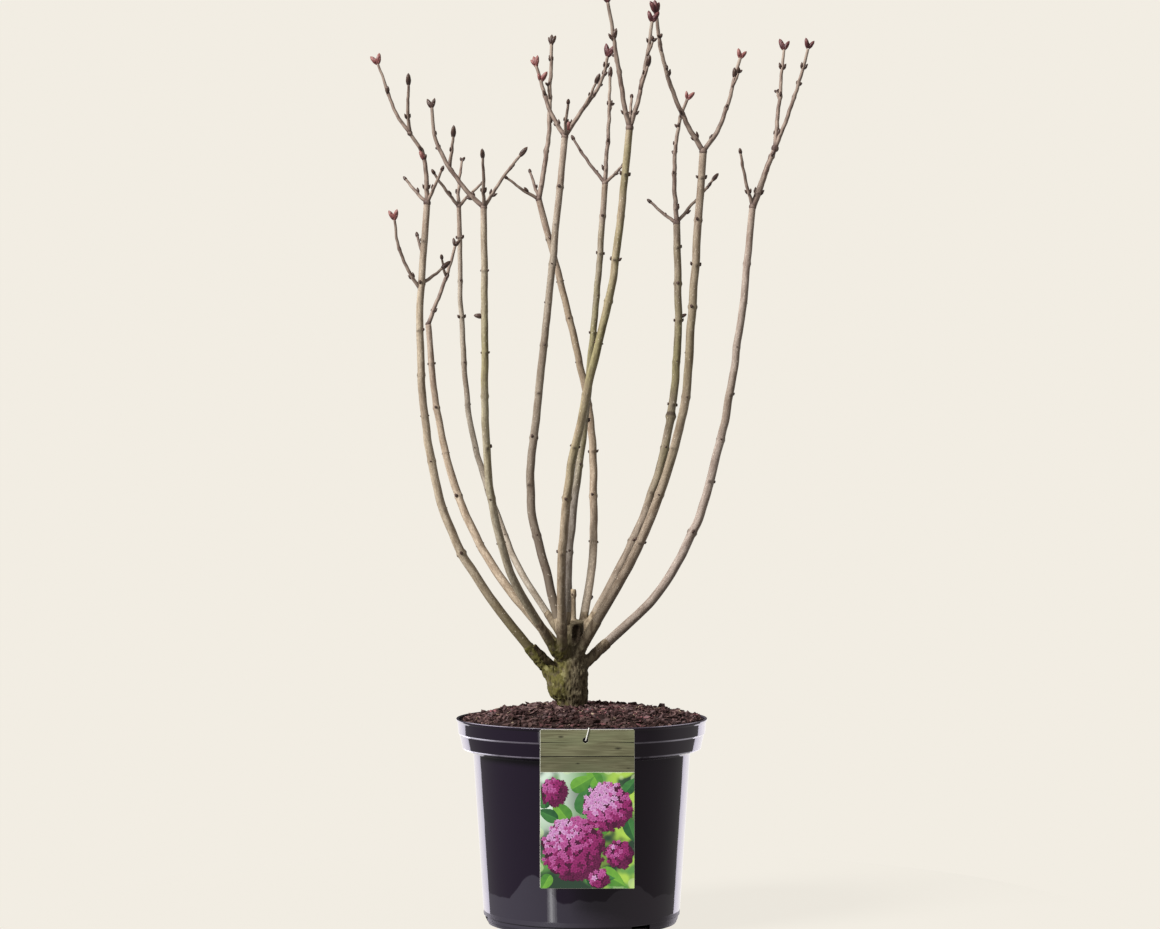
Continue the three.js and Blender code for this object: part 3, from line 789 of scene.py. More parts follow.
def barked_tube(points, radii, sides, nodes, swell, ridge, seed, young=None):
    """A tube with bark relief, thicker and darker where its buds sit."""
    lengths = arc_lengths(points)
    relief = bark_relief(tube(points, radii, sides).straight, ridge, seed).reshape(len(points), sides)
    ring = at_nodes(lengths, sides, nodes, 2.4, 0)
    cushion = at_nodes(lengths + 0.6, sides, nodes, 2.2, 6)
    grown = radii[:, None] * (1 + 0.06 * swell * ring + swell * cushion) + relief
    scars = 0.05 * ring + 0.9 * at_nodes(lengths + 0.8, sides, nodes, 1.4, 12)
    return tube(points, grown, sides, np.clip(scars, 0, 1), young)


def wavered(points, size, reach, seed):
    """The points moved aside by up to `reach`, but not those at the two ends."""
    offsets = np.stack([ripple(points + 300 * (seed + k), size, 2) for k in range(3)], 1)
    share = np.linspace(0, 1, len(points))
    return points + offsets * reach * np.minimum(1, 6 * share * (1 - share))[:, None]


def bough_line(bough, seed):
    """Shares of the bough's height, its middle at each, and how far it has come from its start."""
    span = bough["fork"] - bough["foot"]
    shares = np.linspace(-BOUGH_SUNK / span, 1, int(span / BOUGH_STEP))
    points = wavered(along_bough(bough, shares), 34, 1.1, seed)
    return shares, points, arc_lengths(points)


def bough_shape(bough, seed):
    shares, points, lengths = bough_line(bough, seed)
    nodes = [(np.interp(share, shares, lengths), *facts) for share, *facts in bough_nodes(bough, seed)]
    young = np.clip((lengths - lengths[-1] + YOUNG_WOOD) / YOUNG_WOOD, 0, 1)
    above_knot = points[:, 2] - bough["knot"]
    radii = bough_girth(bough, shares) * (1 + 0.36 * np.exp(-((above_knot / 3.6) ** 2)))
    bark = barked_tube(points, radii, BOUGH_SIDES, nodes, 0.22, 0.2, seed, young)
    collar = 0.85 * np.exp(-(((above_knot - 2.6) / 2.8) ** 4))
    # Painted shade: bark on the sides facing SHADED_SIDE is tinted darker, more so low down by the foot.
    low = np.clip((440 - points[:, 2]) / 90, 0, 1)
    facing = unit(bark.points - np.repeat(points, BOUGH_SIDES, 0)) @ SHADED_SIDE
    stained = (0.22 + bough["stain"] * np.repeat(low, BOUGH_SIDES)) * np.clip(facing + 0.1, 0, 1)
    bark.tint = np.maximum.reduce([bark.tint, np.repeat(collar, BOUGH_SIDES), stained])
    return bark


# ---- Twigs and buds ----

limbs_placed = []
shoots = []
buds_by_colour = {"red": [], "pink": [], "brown": []}
BUD_COLOURS = {
    # Scale and margin.
    "red": ((80, 38, 42), (132, 84, 80)),
    "pink": ((124, 66, 64), (172, 122, 112)),
    "brown": ((70, 48, 42), (98, 76, 62)),
}
TWIG_SLIMNESS = 0.9
TWIG_SIDES = 12
TWIG_FINENESS = 14  # fine pieces for each one of the source's

BUD_STATIONS = (0, 0.12, 0.32, 0.55, 0.78, 0.92, 1)
BUD_GIRTH = (0.58, 0.82, 1.0, 0.98, 0.74, 0.42, 0.08)
LARGE_BUD = {"pairs": 3, "rows": 7, "columns": 6}
SMALL_BUD = {"pairs": 2, "rows": 5, "columns": 4}
SCALE_HALF_ANGLE = math.radians(66)


def bud_girth(share):
    return smoothed(BUD_STATIONS, BUD_GIRTH, np.clip(share, 0, 1))


def bud(root, direction, size, turn, pairs, rows, columns):
    """An ovoid bud of overlapping scales in opposite pairs, each pair square to the one below it."""
    side = unit(np.cross(direction, [0.31, 0.83, 0.12]))
    other = np.cross(direction, side)
    root = root - direction * size["thick"] * 0.5

    def at(angle, share, radius):
        angle, share, radius = [values[..., None] for values in np.broadcast_arrays(angle, share, radius)]
        spoke = np.cos(angle + turn) * side + np.sin(angle + turn) * other
        return root + direction * size["long"] * share + spoke * radius

    up = np.linspace(0, 1, rows + 1)[:, None]
    core = at(bearings(8), up, 0.84 * size["thick"] * bud_girth(up))
    parts = [Shape(core, tube_faces(rows + 1, 8), tint=np.repeat(0.3 * up, 8))]
    for pair in range(pairs):
        low = 0.9 * pair / (pairs + 1)
        high = min(1.0, low + 0.62)
        lift = (0.06 + 0.05 * (pairs - pair)) * size["thick"]
        for half in (0, math.pi):
            bearing = pair * math.pi / 2 + half
            parts.append(bud_scale(at, bearing, low, high, lift, size["thick"], up, columns))
    return joined(parts)


def bud_scale(at, bearing, low, high, lift, thick, up, columns):
    """One scale: a curved plate whose rim is sunk in the bud, pointed at its tip."""
    u = np.linspace(-1, 1, columns + 1)
    half_angle = SCALE_HALF_ANGLE * (1 - up**2.4) ** 0.6 + 0.05
    share = lerp(low, high, up)
    raised = lift * (1 - u**6) * (1 - up**8) - 0.12 * thick * (u**6 + up**8)
    radius = thick * bud_girth(share) * 0.9 + raised
    points = at(bearing + u * half_angle, share, np.maximum(radius, 0.05))
    return Shape(points, grid_faces(len(up), columns + 1), tint=np.minimum(1, 0.9 * up**2 + 0.5 * u**4))


def place_bud(colour, root, direction, size, scale, turn, kind):
    sized = {"long": size["long"] * scale, "thick": size["thick"] * scale}
    buds_by_colour[colour].append(bud(root, direction, sized, turn, **kind))


def twig_line(root, sizes, roll):
    """The middle line of a twig from its root, bending through its leans, as the source draws it."""
    pieces = max(2, math.floor(sizes["long"] / TWIG["step"] + 0.5))
    line = [np.array(root)]
    first, middle, last = sizes["leans"]
    for i in range(pieces):
        halves = 2 * (i + 0.5) / pieces
        steady = lerp(first, middle, halves) if halves < 1 else lerp(middle, last, halves - 1)
        lean = math.radians(steady + TWIG["waver"] * (2 * roll() - 1))
        step = np.array([math.sin(lean), sizes["deep"] / sizes["long"], math.cos(lean)])
        line.append(line[-1] + step * sizes["long"] / pieces)
    return line


def has_room(point, own):
    if abs(point[0]) > CROWN["half_width"] or abs(point[1]) > CROWN["half_depth"]:
        return False
    others = np.concatenate([line for line in limbs_placed if line is not own])
    clear = np.linalg.norm(others - point, axis=1).min() > SPUR["room"]
    return clear and point[2] < CROWN["top"]


def shoot(line, thick, nodes, seed, dark=0.0):
    """A twig's own wood along a fine line."""
    radii = TWIG_SLIMNESS * thick * np.linspace(1, TWIG["taper"], len(line))
    wood = barked_tube(line, radii, TWIG_SIDES, nodes, 0.3, 0.12, seed, np.ones(len(line)))
    crotch = 0.75 * np.exp(-((arc_lengths(line) / 6) ** 2))
    wood.tint = np.maximum(wood.tint, np.repeat(np.maximum(crotch, dark), TWIG_SIDES))
    shoots.append(wood)


def place_end_buds(tip, along, count, turn, kind, fine):
    """The buds that end a twig: one in line with it, or a pair that leans apart, or all three."""
    sizes = END_BUDS[kind]
    if count != 2:
        place_bud(sizes["colour"], tip, along, sizes, lerp(0.92, 1.1, fine()), turn, LARGE_BUD)
    if count > 1:
        for bearing in (turn, turn + math.pi):
            direction = aside(along, END_BUD_SPREAD, bearing)
            root = tip + direction * sizes["thick"] * 0.6
            place_bud(sizes["colour"], root, direction, sizes, lerp(0.7, 1.05, fine()), bearing, LARGE_BUD)


def pair_of_buds(along, bearing, fine):
    """The bearing and the way out of each small bud of a pair, unless it has dropped."""
    for turn in (bearing, bearing + math.pi):
        if fine() >= MISSING_BUDS:
            yield turn, aside(along, 90, turn)


def place_side_buds(root, along, bearing, radius, fine):
    """A pair of small buds on either side of a twig."""
    for turn, out in pair_of_buds(along, bearing, fine):
        direction = aside(along, lerp(12, 30, fine()), turn)
        scale = lerp(0.45, 1.25, fine())
        place_bud("brown", root + out * radius * 0.8, direction, SIDE_BUD, scale, bearing, SMALL_BUD)


def grow_spur(line, roll, fine):
    root = point_on(line, lerp(*SPUR["between"], roll()))
    along = unit(line[-1] - line[0])
    turn = math.pi / 2 if roll() < 0.5 else -math.pi / 2
    out = aside(along, SPUR["spread"], turn + 0.5 * (roll() - 0.5))
    tip = root + out * SPUR["long"]
    if not has_room(tip, line):
        return
    limbs_placed.append([root, tip])
    route = rounded_line([root, root + out * SPUR["long"] * 0.5 - UP * 0.8, tip], 8)
    shoot(route, SPUR["thick"], [(8, 0, 1.0), (14, math.pi / 2, 1.0)], 100 * fine())
    place_end_buds(tip, unit(route[-1] - route[-2]), 2, 0, "small", fine)


def grow_twig(line, sizes, goes_on, roll, fine):
    """One twig with its nodes, side buds, spur and, unless other twigs go on from its tip, its end buds."""
    detailed = wavered(rounded_line(line, TWIG_FINENESS), 13, 0.9, sizes["long"])
    lengths = arc_lengths(detailed)
    nodes = []
    up = TWIG["first_node"]
    quarter = 0
    while up < sizes["long"] - TWIG["first_node"] / 2:
        share = up / sizes["long"]
        bearing = quarter * math.pi / 2 + 0.8 * (fine() - 0.5)
        nodes.append((np.interp(share, np.linspace(0, 1, len(lengths)), lengths), bearing, 1.0))
        root = point_on(detailed, share)
        along = unit(point_on(detailed, min(1, share + 0.02)) - root)
        radius = TWIG_SLIMNESS * sizes["thick"] * lerp(1, TWIG["taper"], share)
        if not sizes["bare"]:
            place_side_buds(root, along, bearing, radius, fine)
        up += TWIG["node_spacing"] * lerp(0.75, 1.15, fine())
        quarter += 1
    shoot(detailed, sizes["thick"], nodes, 100 * fine(), sizes["dark"])
    if not goes_on:
        along = unit(detailed[-1] - detailed[-3])
        turn = 1.3 * (roll() - 0.5)
        place_end_buds(detailed[-1], along, sizes["buds"], turn, sizes["end"], fine)
    if sizes["long"] >= TWIG["spur_from"]:
        grow_spur(line, roll, fine)


def add_fork_knot(place, radius, seed):
    """The swollen end of a limb, where its twigs part."""
    offsets = np.linspace(-1, 1, 7)
    points = place + UP * radius * 1.1 * offsets[:, None]
    knot = barked_tube(points, radius * np.sqrt(1.02 - offsets**2), 14, [], 0, 0.15, seed)
    knot.tint += np.clip(0.5 + ripple(knot.points, 5, 2), 0.2, 0.9)
    shoots.append(knot)


def grow_twigs(name, seed):
    """One mass of twigs above a bough's fork; returns the middle lines of its twigs."""
    fork = along_bough(BOUGHS[name], 1)
    roll = dice(seed)
    fine = dice(seed + FINE_SEEDS["twigs"])
    lines = []
    for i, sizes in enumerate(TWIGS[name]):
        start = fork if sizes["on"] is None else point_on(lines[sizes["on"]], sizes["at"])
        line = twig_line(start, sizes, roll)
        lines.append(line)
        limbs_placed.append(line)
        goes_on = any(other["on"] == i and other["at"] == 1 for other in TWIGS[name])
        grow_twig(line, sizes, goes_on, roll, fine)
        if goes_on:
            add_fork_knot(line[-1], 0.95 * sizes["thick"], seed)
    add_fork_knot(fork, 0.98 * bough_thickness(BOUGHS[name], 1), seed)
    return lines


def grow_side_twig(at, sizes, seed):
    roll = dice(seed)
    line = twig_line(along_bough(BOUGHS[SIDE_TWIGS_BOUGH], at), sizes, roll)
    limbs_placed.append(line)
    grow_twig(line, sizes, False, roll, dice(seed + FINE_SEEDS["twigs"]))


def place_bough_buds(bough, seed):
    """Small dark buds in pairs up a bough."""
    fine = dice(seed + FINE_SEEDS["bough_buds"])
    shares, points, _ = bough_line(bough, seed)
    for share, bearing, scale in bough_nodes(bough, seed):
        middle = np.array([np.interp(share, shares, points[:, k]) for k in range(3)])
        along = unit(along_bough(bough, share + 0.01) - along_bough(bough, share))
        for _, out in pair_of_buds(along, bearing, fine):
            direction = unit(along * lerp(0.7, 2.0, fine()) + out)
            size = {"long": lerp(2.6, 4.6, fine()) * scale, "thick": lerp(1.4, 2.0, fine()) * scale**0.5}
            root = middle + out * bough_girth(bough, share) * 0.94
            place_bud("brown", root, direction, size, 1, bearing, SMALL_BUD)


EXTRA_BUDS = [
    # Mass, across and up to the nearest wood, lean, kind, how many.
    ("middle", -16, 886, 0, "pink", 1),
    ("middle", -47, 945, 8, "pink", 2),
    ("middle", 21.8, 948, 20, "small", 2),
    ("far_left", -172, 845, -28, "pink", 1),
    ("far_left", -171, 846, 24, "small", 1),
    ("far_left", -213, 919, -4, "small", 1),
    ("short_left", -149, 856, 8, "small", 2),
    ("front_leaning", 34, 962, 16, "dark", 1),
    ("front_leaning", 33, 960, -34, "small", 1),
    ("front_right", 165, 930, -4, "dark", 1),
    ("front_right", 92, 935, 12, "small", 1),
    ("back_right", 111, 899, -20, "small", 2),
    ("back_leaning", -39, 982, -10, "small", 2),
]


def place_extra_buds(lines_by_mass, fine):
    """The buds on the twigs that the photo shows plainly and the rule leaves out."""
    for name, across, up, lean, kind, count in EXTRA_BUDS:
        wood = np.vstack([rounded_line(line, TWIG_FINENESS) for line in lines_by_mass[name]])
        nearest = wood[np.hypot(wood[:, 0] - across, wood[:, 2] - up).argmin()]
        angle = math.radians(lean)
        along = unit(np.array([math.sin(angle), -0.25, math.cos(angle)]))
        place_end_buds(nearest, along, count, 1.2 * (fine() - 0.5), kind, fine)


def place_long_buds():
    """The few buds that stand well out from their boughs, and the one on the short stub."""
    for name, height, bearing, spread, size in LONG_BUDS:
        bough = BOUGHS[name]
        shares, points, _ = bough_line(bough, list(BOUGHS).index(name))
        nearest = np.abs(points[:, 2] - height).argmin()
        along = unit(points[nearest + 3] - points[nearest - 3])
        direction = aside(along, spread, math.radians(bearing))
        root = points[nearest] + direction * bough_girth(bough, shares[nearest]) * 0.78
        place_bud("brown", root, direction, size, 1, 0.4, LARGE_BUD)
    root = np.array(STUB_BUD["root"])
    place_bud("brown", root, np.array(STUB_BUD["direction"]), STUB_BUD["size"], 1, 0.4, SMALL_BUD)


# ---- Trunk ----

TRUNK_PITCH = 1.0
TRUNK_FOOT = 238.5
TRUNK_BOX = np.array([[-92, -62, 237], [66, 62, 372]], float)
WEB = {"root": 2.2, "stub": 2, "swelling": 5}  # how far wood webs where it meets the trunk
ROOT_TIP = {"above": 8, "swelling": 0.6}  # where the trunk's part of a bough ends, within the bough
BARK_CHANGE = {"below": 36, "within": 26, "above": 12}  # round a bough's foot


def capsule_distance(places, a, b, thick_a, thick_b):
    """How far each place is outside a rounded cone between two points."""
    a = np.asarray(a, float)
    run = np.asarray(b, float) - a
    share = np.clip(((places - a) @ run) / (run @ run), 0, 1)
    return np.linalg.norm(places - (a + share[..., None] * run), axis=-1) - lerp(thick_a, thick_b, share)


def limb_distance(places, limb):
    """How far each place is outside a stub or a swelling."""
    return capsule_distance(places, *limb["ends"], *limb["thick"])


def chain_distance(places, route, girths):
    """How far each place is outside a chain of rounded cones."""
    links = zip(route, route[1:], girths, girths[1:])
    return np.minimum.reduce([capsule_distance(places, *link) for link in links])


def smooth_union(a, b, reach):
    """The nearer of two distances, with a web of that reach where they meet."""
    mixed = np.clip(0.5 + 0.5 * (b - a) / reach, 0, 1)
    return lerp(b, a, mixed) - reach * mixed * (1 - mixed)


def hollow_distance(places):
    """How far each place is outside the rotten hollow in the front of the cut stump."""
    ragged = 0.7 * np.sin(1.3 * places[..., 0] + 0.8 * places[..., 2]) * np.cos(0.9 * places[..., 2])
    return capsule_distance(places, *HOLLOW["ends"], HOLLOW["radius"], 0.9 * HOLLOW["radius"]) + ragged


def beyond_cut(places, stub):
    """How far each place is beyond the flat end of a stub."""
    foot, cut = np.array(stub["ends"], float)
    return (places - cut) @ unit(cut - foot)


def trunk_field(places):
    """How far each place is outside the trunk's wood."""
    stump = [(across, 0, height) for height, across, _ in TRUNK_RINGS]
    flattened = places * (1, 1 / TRUNK_DEPTH, 1)
    field = chain_distance(flattened, stump, [radius for _, _, radius in TRUNK_RINGS])
    for bough in BOUGHS.values():
        top = along_bough(bough, 0)
        down = unit(top - along_bough(bough, 0.01))
        above = along_bough(bough, ROOT_TIP["above"] / (bough["fork"] - bough["foot"]))
        route = [top + down * ROOT_LENGTH, top + down * ROOT_LENGTH / 2, top, above]
        route[0][2] = max(route[0][2], ROOT_LOWEST)
        girths = [bough["thick"][0] * share for share in (*ROOT_SWELLING, ROOT_TIP["swelling"])]
        field = smooth_union(field, chain_distance(places, route, girths), WEB["root"])
    for stub in STUBS:
        cut = np.maximum(limb_distance(places, stub), beyond_cut(places, stub))
        field = smooth_union(field, cut, WEB["stub"])
    field = smooth_union(field, limb_distance(places, SWELLING), WEB["swelling"])
    field = np.maximum(field, -hollow_distance(places))
    return np.maximum(field, TRUNK_FOOT - places[..., 2])


CORNERS = list(itertools.product((0, 1), repeat=3))
EDGES = [(a, b) for a in CORNERS for b in CORNERS if a < b and math.dist(a, b) == 1]


def at_corner(samples, corner):
    """The samples at one corner of every cell of their grid."""
    return samples[tuple(slice(k, size - 1 + k) for k, size in zip(corner, samples.shape))]


def surface_of(field, start, pitch):
    """Quads on the zero level of a grid of distances: one point for each cell that the surface crosses."""
    solid = field < 0
    corners = np.stack([at_corner(solid, corner) for corner in CORNERS])
    crossed = corners.any(0) & ~corners.all(0)
    total = np.zeros(crossed.shape + (3,))
    count = np.zeros(crossed.shape)
    for a, b in EDGES:
        near = at_corner(field, a)
        far = at_corner(field, b)
        cut = (near < 0) != (far < 0)
        share = near / np.where(cut, near - far, 1)
        place = np.array(a) + share[..., None] * np.subtract(b, a)
        total += np.where(cut[..., None], place, 0)
        count += cut
    cells = np.argwhere(crossed)
    points = start + pitch * (cells + total[crossed] / count[crossed][:, None])
    index = np.full(crossed.shape, -1)
    index[crossed] = np.arange(len(cells))
    inner = (slice(1, -1),) * 3
    faces = []
    for axis in range(3):
        one, two = np.delete(np.eye(3, dtype=int), axis, 0)
        near = solid[inner]
        for cell in np.argwhere(near != np.roll(solid, -1, axis)[inner]):
            ring = [index[tuple(cell + 1 - back)] for back in (0 * one, one, one + two, two)]
            outward = near[tuple(cell)] == (axis != 1)
            faces.append(tuple(ring if outward else ring[::-1]))
    return points, faces


def vertex_normals(points, faces):
    quads = np.array(faces)
    a, b, c, d = points[quads].swapaxes(0, 1)
    normals = np.zeros_like(points)
    for k in range(4):
        np.add.at(normals, quads[:, k], np.cross(c - a, d - b))
    return unit(normals + 1e-12)


def trunk_shape():
    """The trunk with its fissures and knobs, and with its tint, which holds painted shade, and kind of bark
    at each point.
    """
    low, high = TRUNK_BOX
    axes = [np.arange(low[k], high[k], TRUNK_PITCH) for k in range(3)]
    field = trunk_field(np.stack(np.meshgrid(*axes, indexing="ij"), -1))
    points, faces = surface_of(field, low, TRUNK_PITCH)
    normals = vertex_normals(points, faces)
    height = points[:, 2]
    old = np.clip((318 - height) / 36, 0.1, 1)
    ridges = 1 - np.abs(ripple(points * (1, 1, 0.36), 3.6, 3)) * 2.2
    knobs = ripple(points, 13, 2)
    relief = old * (0.8 * ridges + 1.9 * knobs - 0.9) - 1.6 * np.clip((254 - height) / 10, 0, 1)
    fissures = np.clip(0.45 - 0.8 * ridges, 0, 0.6) * old
    on_dead_stub = np.clip(1.6 - np.abs(limb_distance(points, STUBS[0])), 0, 1)
    from_hollow = hollow_distance(points)
    # Dark rotten wood on the hollow's walls, with painted shade in the recess and round it.
    rotten = np.clip(1.4 - np.abs(from_hollow), 0, 0.9)
    round_hollow = np.clip(0.55 - 0.09 * from_hollow, 0, 0.5)
    kind = bough_bark_share(points)
    # Painted shade: the boughs' bark on the trunk is tinted darker on the sides facing SHADED_SIDE and low in
    # the crotch between them.
    shaded = np.clip(normals @ SHADED_SIDE + 0.1, 0, 1)
    crotch = np.clip((338 - height) / 26, 0, 1) * np.clip(2.3 - np.abs(points[:, 0] + 8) / 14, 0, 1)
    tints = [fissures, 0.9 * on_dead_stub * (height > 286), rotten, round_hollow]
    tint = np.maximum.reduce(tints + [0.66 * kind * shaded, 0.36 * kind * crotch])
    for stub in STUBS[1:]:
        near = limb_distance(points, stub) < 1.0
        kind = np.maximum(kind, stub["cut"] * np.clip(1.5 + beyond_cut(points, stub), 0, 1) * near)
        kind = np.maximum(kind, stub["bark"] * near * np.clip((height - 318) / 12, 0, 1))
    return Shape(points + normals * relief[:, None], faces, tint=tint, young=kind)


def bough_bark_share(points):
    """How far the bark at each point of the trunk has turned to that of the bough that leaves there.

    The bough that algae cover wholly keeps the trunk's own.
    """
    most = np.zeros(len(points))
    for bough in BOUGHS.values():
        if bough["looks"].get("algae") == 1:
            continue
        foot = along_bough(bough, 0)
        ahead = unit(along_bough(bough, 0.01) - foot)
        thick = bough["thick"][0]
        start = foot - BARK_CHANGE["below"] * ahead
        outside = capsule_distance(points, start, foot + BARK_CHANGE["above"] * ahead, thick, thick)
        turned_to = np.clip((points - start) @ ahead / BARK_CHANGE["within"], 0, 1)
        most = np.maximum(most, turned_to * np.clip(1.4 - outside / 1.6, 0, 1))
    return most


# ---- Pot ----

POT_SIDES = 180
# Radius, height and how far each corner is rounded, up the outside, down the inside and to the middle.
POT_PROFILE = [
    (0, 1.2, 0),
    (96, 1.2, 0.8),
    (97.5, 0, 0.8),
    (105.6, 0, 1.2),
    (107, 8, 0.6),
    (109.2, 9, 0.8),
    (121.1, 189.6, 1.0),
    (127, 190.6, 1.2),
    (133, 193.6, 1.0),
    (136.3, 209.2, 0.6),
    (137.8, 210.8, 0.8),
    (138.6, 223.5, 0.5),
    (LIP_RADIUS, 224.5, 0.8),
    (LIP_RADIUS, POT_HEIGHT, 1.0),
    (137, POT_HEIGHT, 1.0),
    (135.8, 208.5, 1.0),
    (131, 194.5, 1.2),
    (118.8, 189, 1.2),
    (107.2, POT_FLOOR, 2.0),
    (0, POT_FLOOR, 0),
]
POT_LEDGES = ((193.2, 194.6), (209.6, 210.8))  # from and to which height the edges carry a painted highlight
POT_SHARP_EDGE = 50


def rounded_profile(corners, steps=5):
    """A profile of radius and height whose corners are rounded by the third number of each."""
    line = []
    for i, (radius, height, bend) in enumerate(corners):
        here = np.array([radius, height], float)
        if bend == 0:
            line.append(here)
            continue
        before = np.array(corners[i - 1][:2]) - here
        after = np.array(corners[i + 1][:2]) - here
        enter = here + before * min(0.45, bend / np.linalg.norm(before))
        leave = here + after * min(0.45, bend / np.linalg.norm(after))
        for u in np.linspace(0, 1, steps + 1):
            line.append((1 - u) ** 2 * enter + 2 * u * (1 - u) * here + u**2 * leave)
    return np.array(line)


def turned(profile, sides):
    """A body turned about Z from a profile that starts and ends on the axis."""
    points = rings(profile[1:-1, 0], profile[1:-1, 1], sides)
    faces = grid_faces(len(profile) - 2, sides, True)
    low = len(points)
    last = low - sides
    for k in range(sides):
        after = (k + 1) % sides
        faces.append((low, after, k))
        faces.append((low + 1, last + k, last + after))
    return Shape(np.vstack([points, [0, 0, profile[0, 1]], [0, 0, profile[-1, 1]]]), faces)


def notch_cutter(angle):
    """A box across the foot of the pot's wall, at an angle round it."""
    square = ((-1, -1), (1, -1), (1, 1), (-1, 1))
    corners = np.array([(x, y, z) for z in (-1, 1) for x, y in square])
    corners = corners * (NOTCHES["depth"] / 2, NOTCHES["width"] / 2, NOTCHES["height"])
    return mesh_object("notch", (corners + (NOTCHES["radius"], 0, 0)) @ turning(2, angle), tube_faces(2, 4))


def cut_away(body, cutters):
    """Subtracts the cutters from a piece for good, and removes them."""
    for cutter in cutters:
        modifier = body.modifiers.new("cut", "BOOLEAN")
        modifier.object = cutter
        modifier.operation = "DIFFERENCE"
        modifier.solver = "MANIFOLD"
    bpy.context.view_layer.update()
    finished = bpy.data.meshes.new_from_object(body.evaluated_get(bpy.context.evaluated_depsgraph_get()))
    body.modifiers.clear()
    body.data = finished
    for cutter in cutters:
        bpy.data.objects.remove(cutter)


def make_pot():
    shape = turned(rounded_profile(POT_PROFILE), POT_SIDES)
    body = piece("nursery_pot", shape, pot_material(), "pot_plastic", ["pot"])
    first = math.radians(NOTCHES["first"] - 90)
    cut_away(body, [notch_cutter(first + angle) for angle in bearings(NOTCHES["count"])])
    body.data.set_sharp_from_angle(angle=math.radians(POT_SHARP_EDGE))


# ---- Soil ----

GOLDEN = (1 + math.sqrt(5)) / 2
LUMP = np.array([p for a in (-1, 1) for b in (-GOLDEN, GOLDEN) for p in ((0, a, b), (a, b, 0), (b, 0, a))])
LUMP_EDGE = 2.01  # a little more than the lump's edges
CLODS = [
    # Big lumps: across, back, half length.
    (59, 90, 7),
    (61, 91, 4.5),
    (90, 75, 7),
    (95, 72, 5),
    (-52, 78, 5),
    (-88, 40, 6),
    (-30, -92, 7),
    (38, -70, 8),
    (92, -28, 7),
    (-70, -50, 8),
]
CRUMBS = {
    # How many, half length and half width from and to, flatness, light and dark colour.
    "peat": (1900, (1.6, 6.0), (1.2, 3.6), 0.75, (82, 59, 57), (36, 23, 23)),
    "bark_chips": (640, (2.8, 10.0), (1.4, 4.0), 0.42, (124, 98, 94), (60, 42, 40)),
    "red_chips": (300, (2.4, 8.0), (1.2, 3.2), 0.42, (154, 104, 106), (92, 58, 61)),
    "tan_bits": (120, (1.4, 4.0), (0.7, 1.8), 0.4, (190, 170, 146), (128, 104, 86)),
}
FIBRES = 90
SOIL_RINGS = 70
SOIL_SIDES = 190
SOIL_SKIRT = {"radii": (135.2, 131), "heights": (216, 200)}
SOIL_SWELLS = [(2.2, 0, 17), (1.9, 50, 6), (1.0, 90, 3)]  # how high, from where in the noise, how wide


def soil_height(radius):
    share = max(0, (radius - SOIL["patch"]) / (SOIL["radius"] - SOIL["patch"]))
    return SOIL["crown"] - (SOIL["crown"] - SOIL["edge"]) * share ** SOIL["roundness"]


def soil_lumps(points):
    """How far the soil stands above its smooth dome, with a heap at its right."""
    flat = np.asarray(points) * (1, 1, 0)
    heaped = 2.6 * np.clip((flat[:, 0] - 92) / 30, 0, 1)
    return heaped + sum(high * ripple(flat + start, wide, 2) for high, start, wide in SOIL_SWELLS) - 1.4


def ground(x, y):
    """The height of the soil there."""
    return soil_height(math.hypot(x, y)) + soil_lumps([(x, y, 0)])[0]


def soil_bed():
    """The dome of soil, rough all over, with its skirt down the inside of the pot."""
    radii = np.linspace(3, SOIL["radius"], SOIL_RINGS)
    heights = [soil_height(radius) for radius in radii]
    points = rings([*radii, *SOIL_SKIRT["radii"]], [*heights, *SOIL_SKIRT["heights"]], SOIL_SIDES)
    points[:, 2] += soil_lumps(points) * (points[:, 2] > max(SOIL_SKIRT["heights"]))
    return Shape(points, turned_out(tube_faces(SOIL_RINGS + 2, SOIL_SIDES)))


def lump_faces():
    """The twenty faces of the lump's corners, found as the triples that stand closest together."""
    faces = []
    for i, j, k in itertools.combinations(range(12), 3):
        a, b, c = LUMP[[i, j, k]]
        if max(np.linalg.norm(edge) for edge in (a - b, b - c, c - a)) < LUMP_EDGE:
            faces.append((i, j, k) if np.cross(b - a, c - a) @ a > 0 else (i, k, j))
    return faces


LUMP_FACES = lump_faces()


def rough_crumb(place, size, flatness, yaw, pitch, fine):
    """A broken bit of soil or bark: a squashed twelve-cornered lump, rolled, tilted and turned."""
    half_length, half_width = size
    corners = unit(LUMP) * np.array([lerp(0.6, 1.3, fine()) for _ in LUMP])[:, None]
    corners = corners * (half_length, half_width, half_width * flatness)
    tilt = 0.9 * (fine() - 0.5)
    return Shape(corners @ turning(0, pitch) @ turning(1, tilt) @ turning(2, yaw) + place, LUMP_FACES)


def random_spot(margin, fine):
    """A place on the soil, at least that far from its edge."""
    radius = (SOIL["radius"] - margin) * math.sqrt(fine())
    turn = 2 * math.pi * fine()
    return radius * math.cos(turn), radius * math.sin(turn)


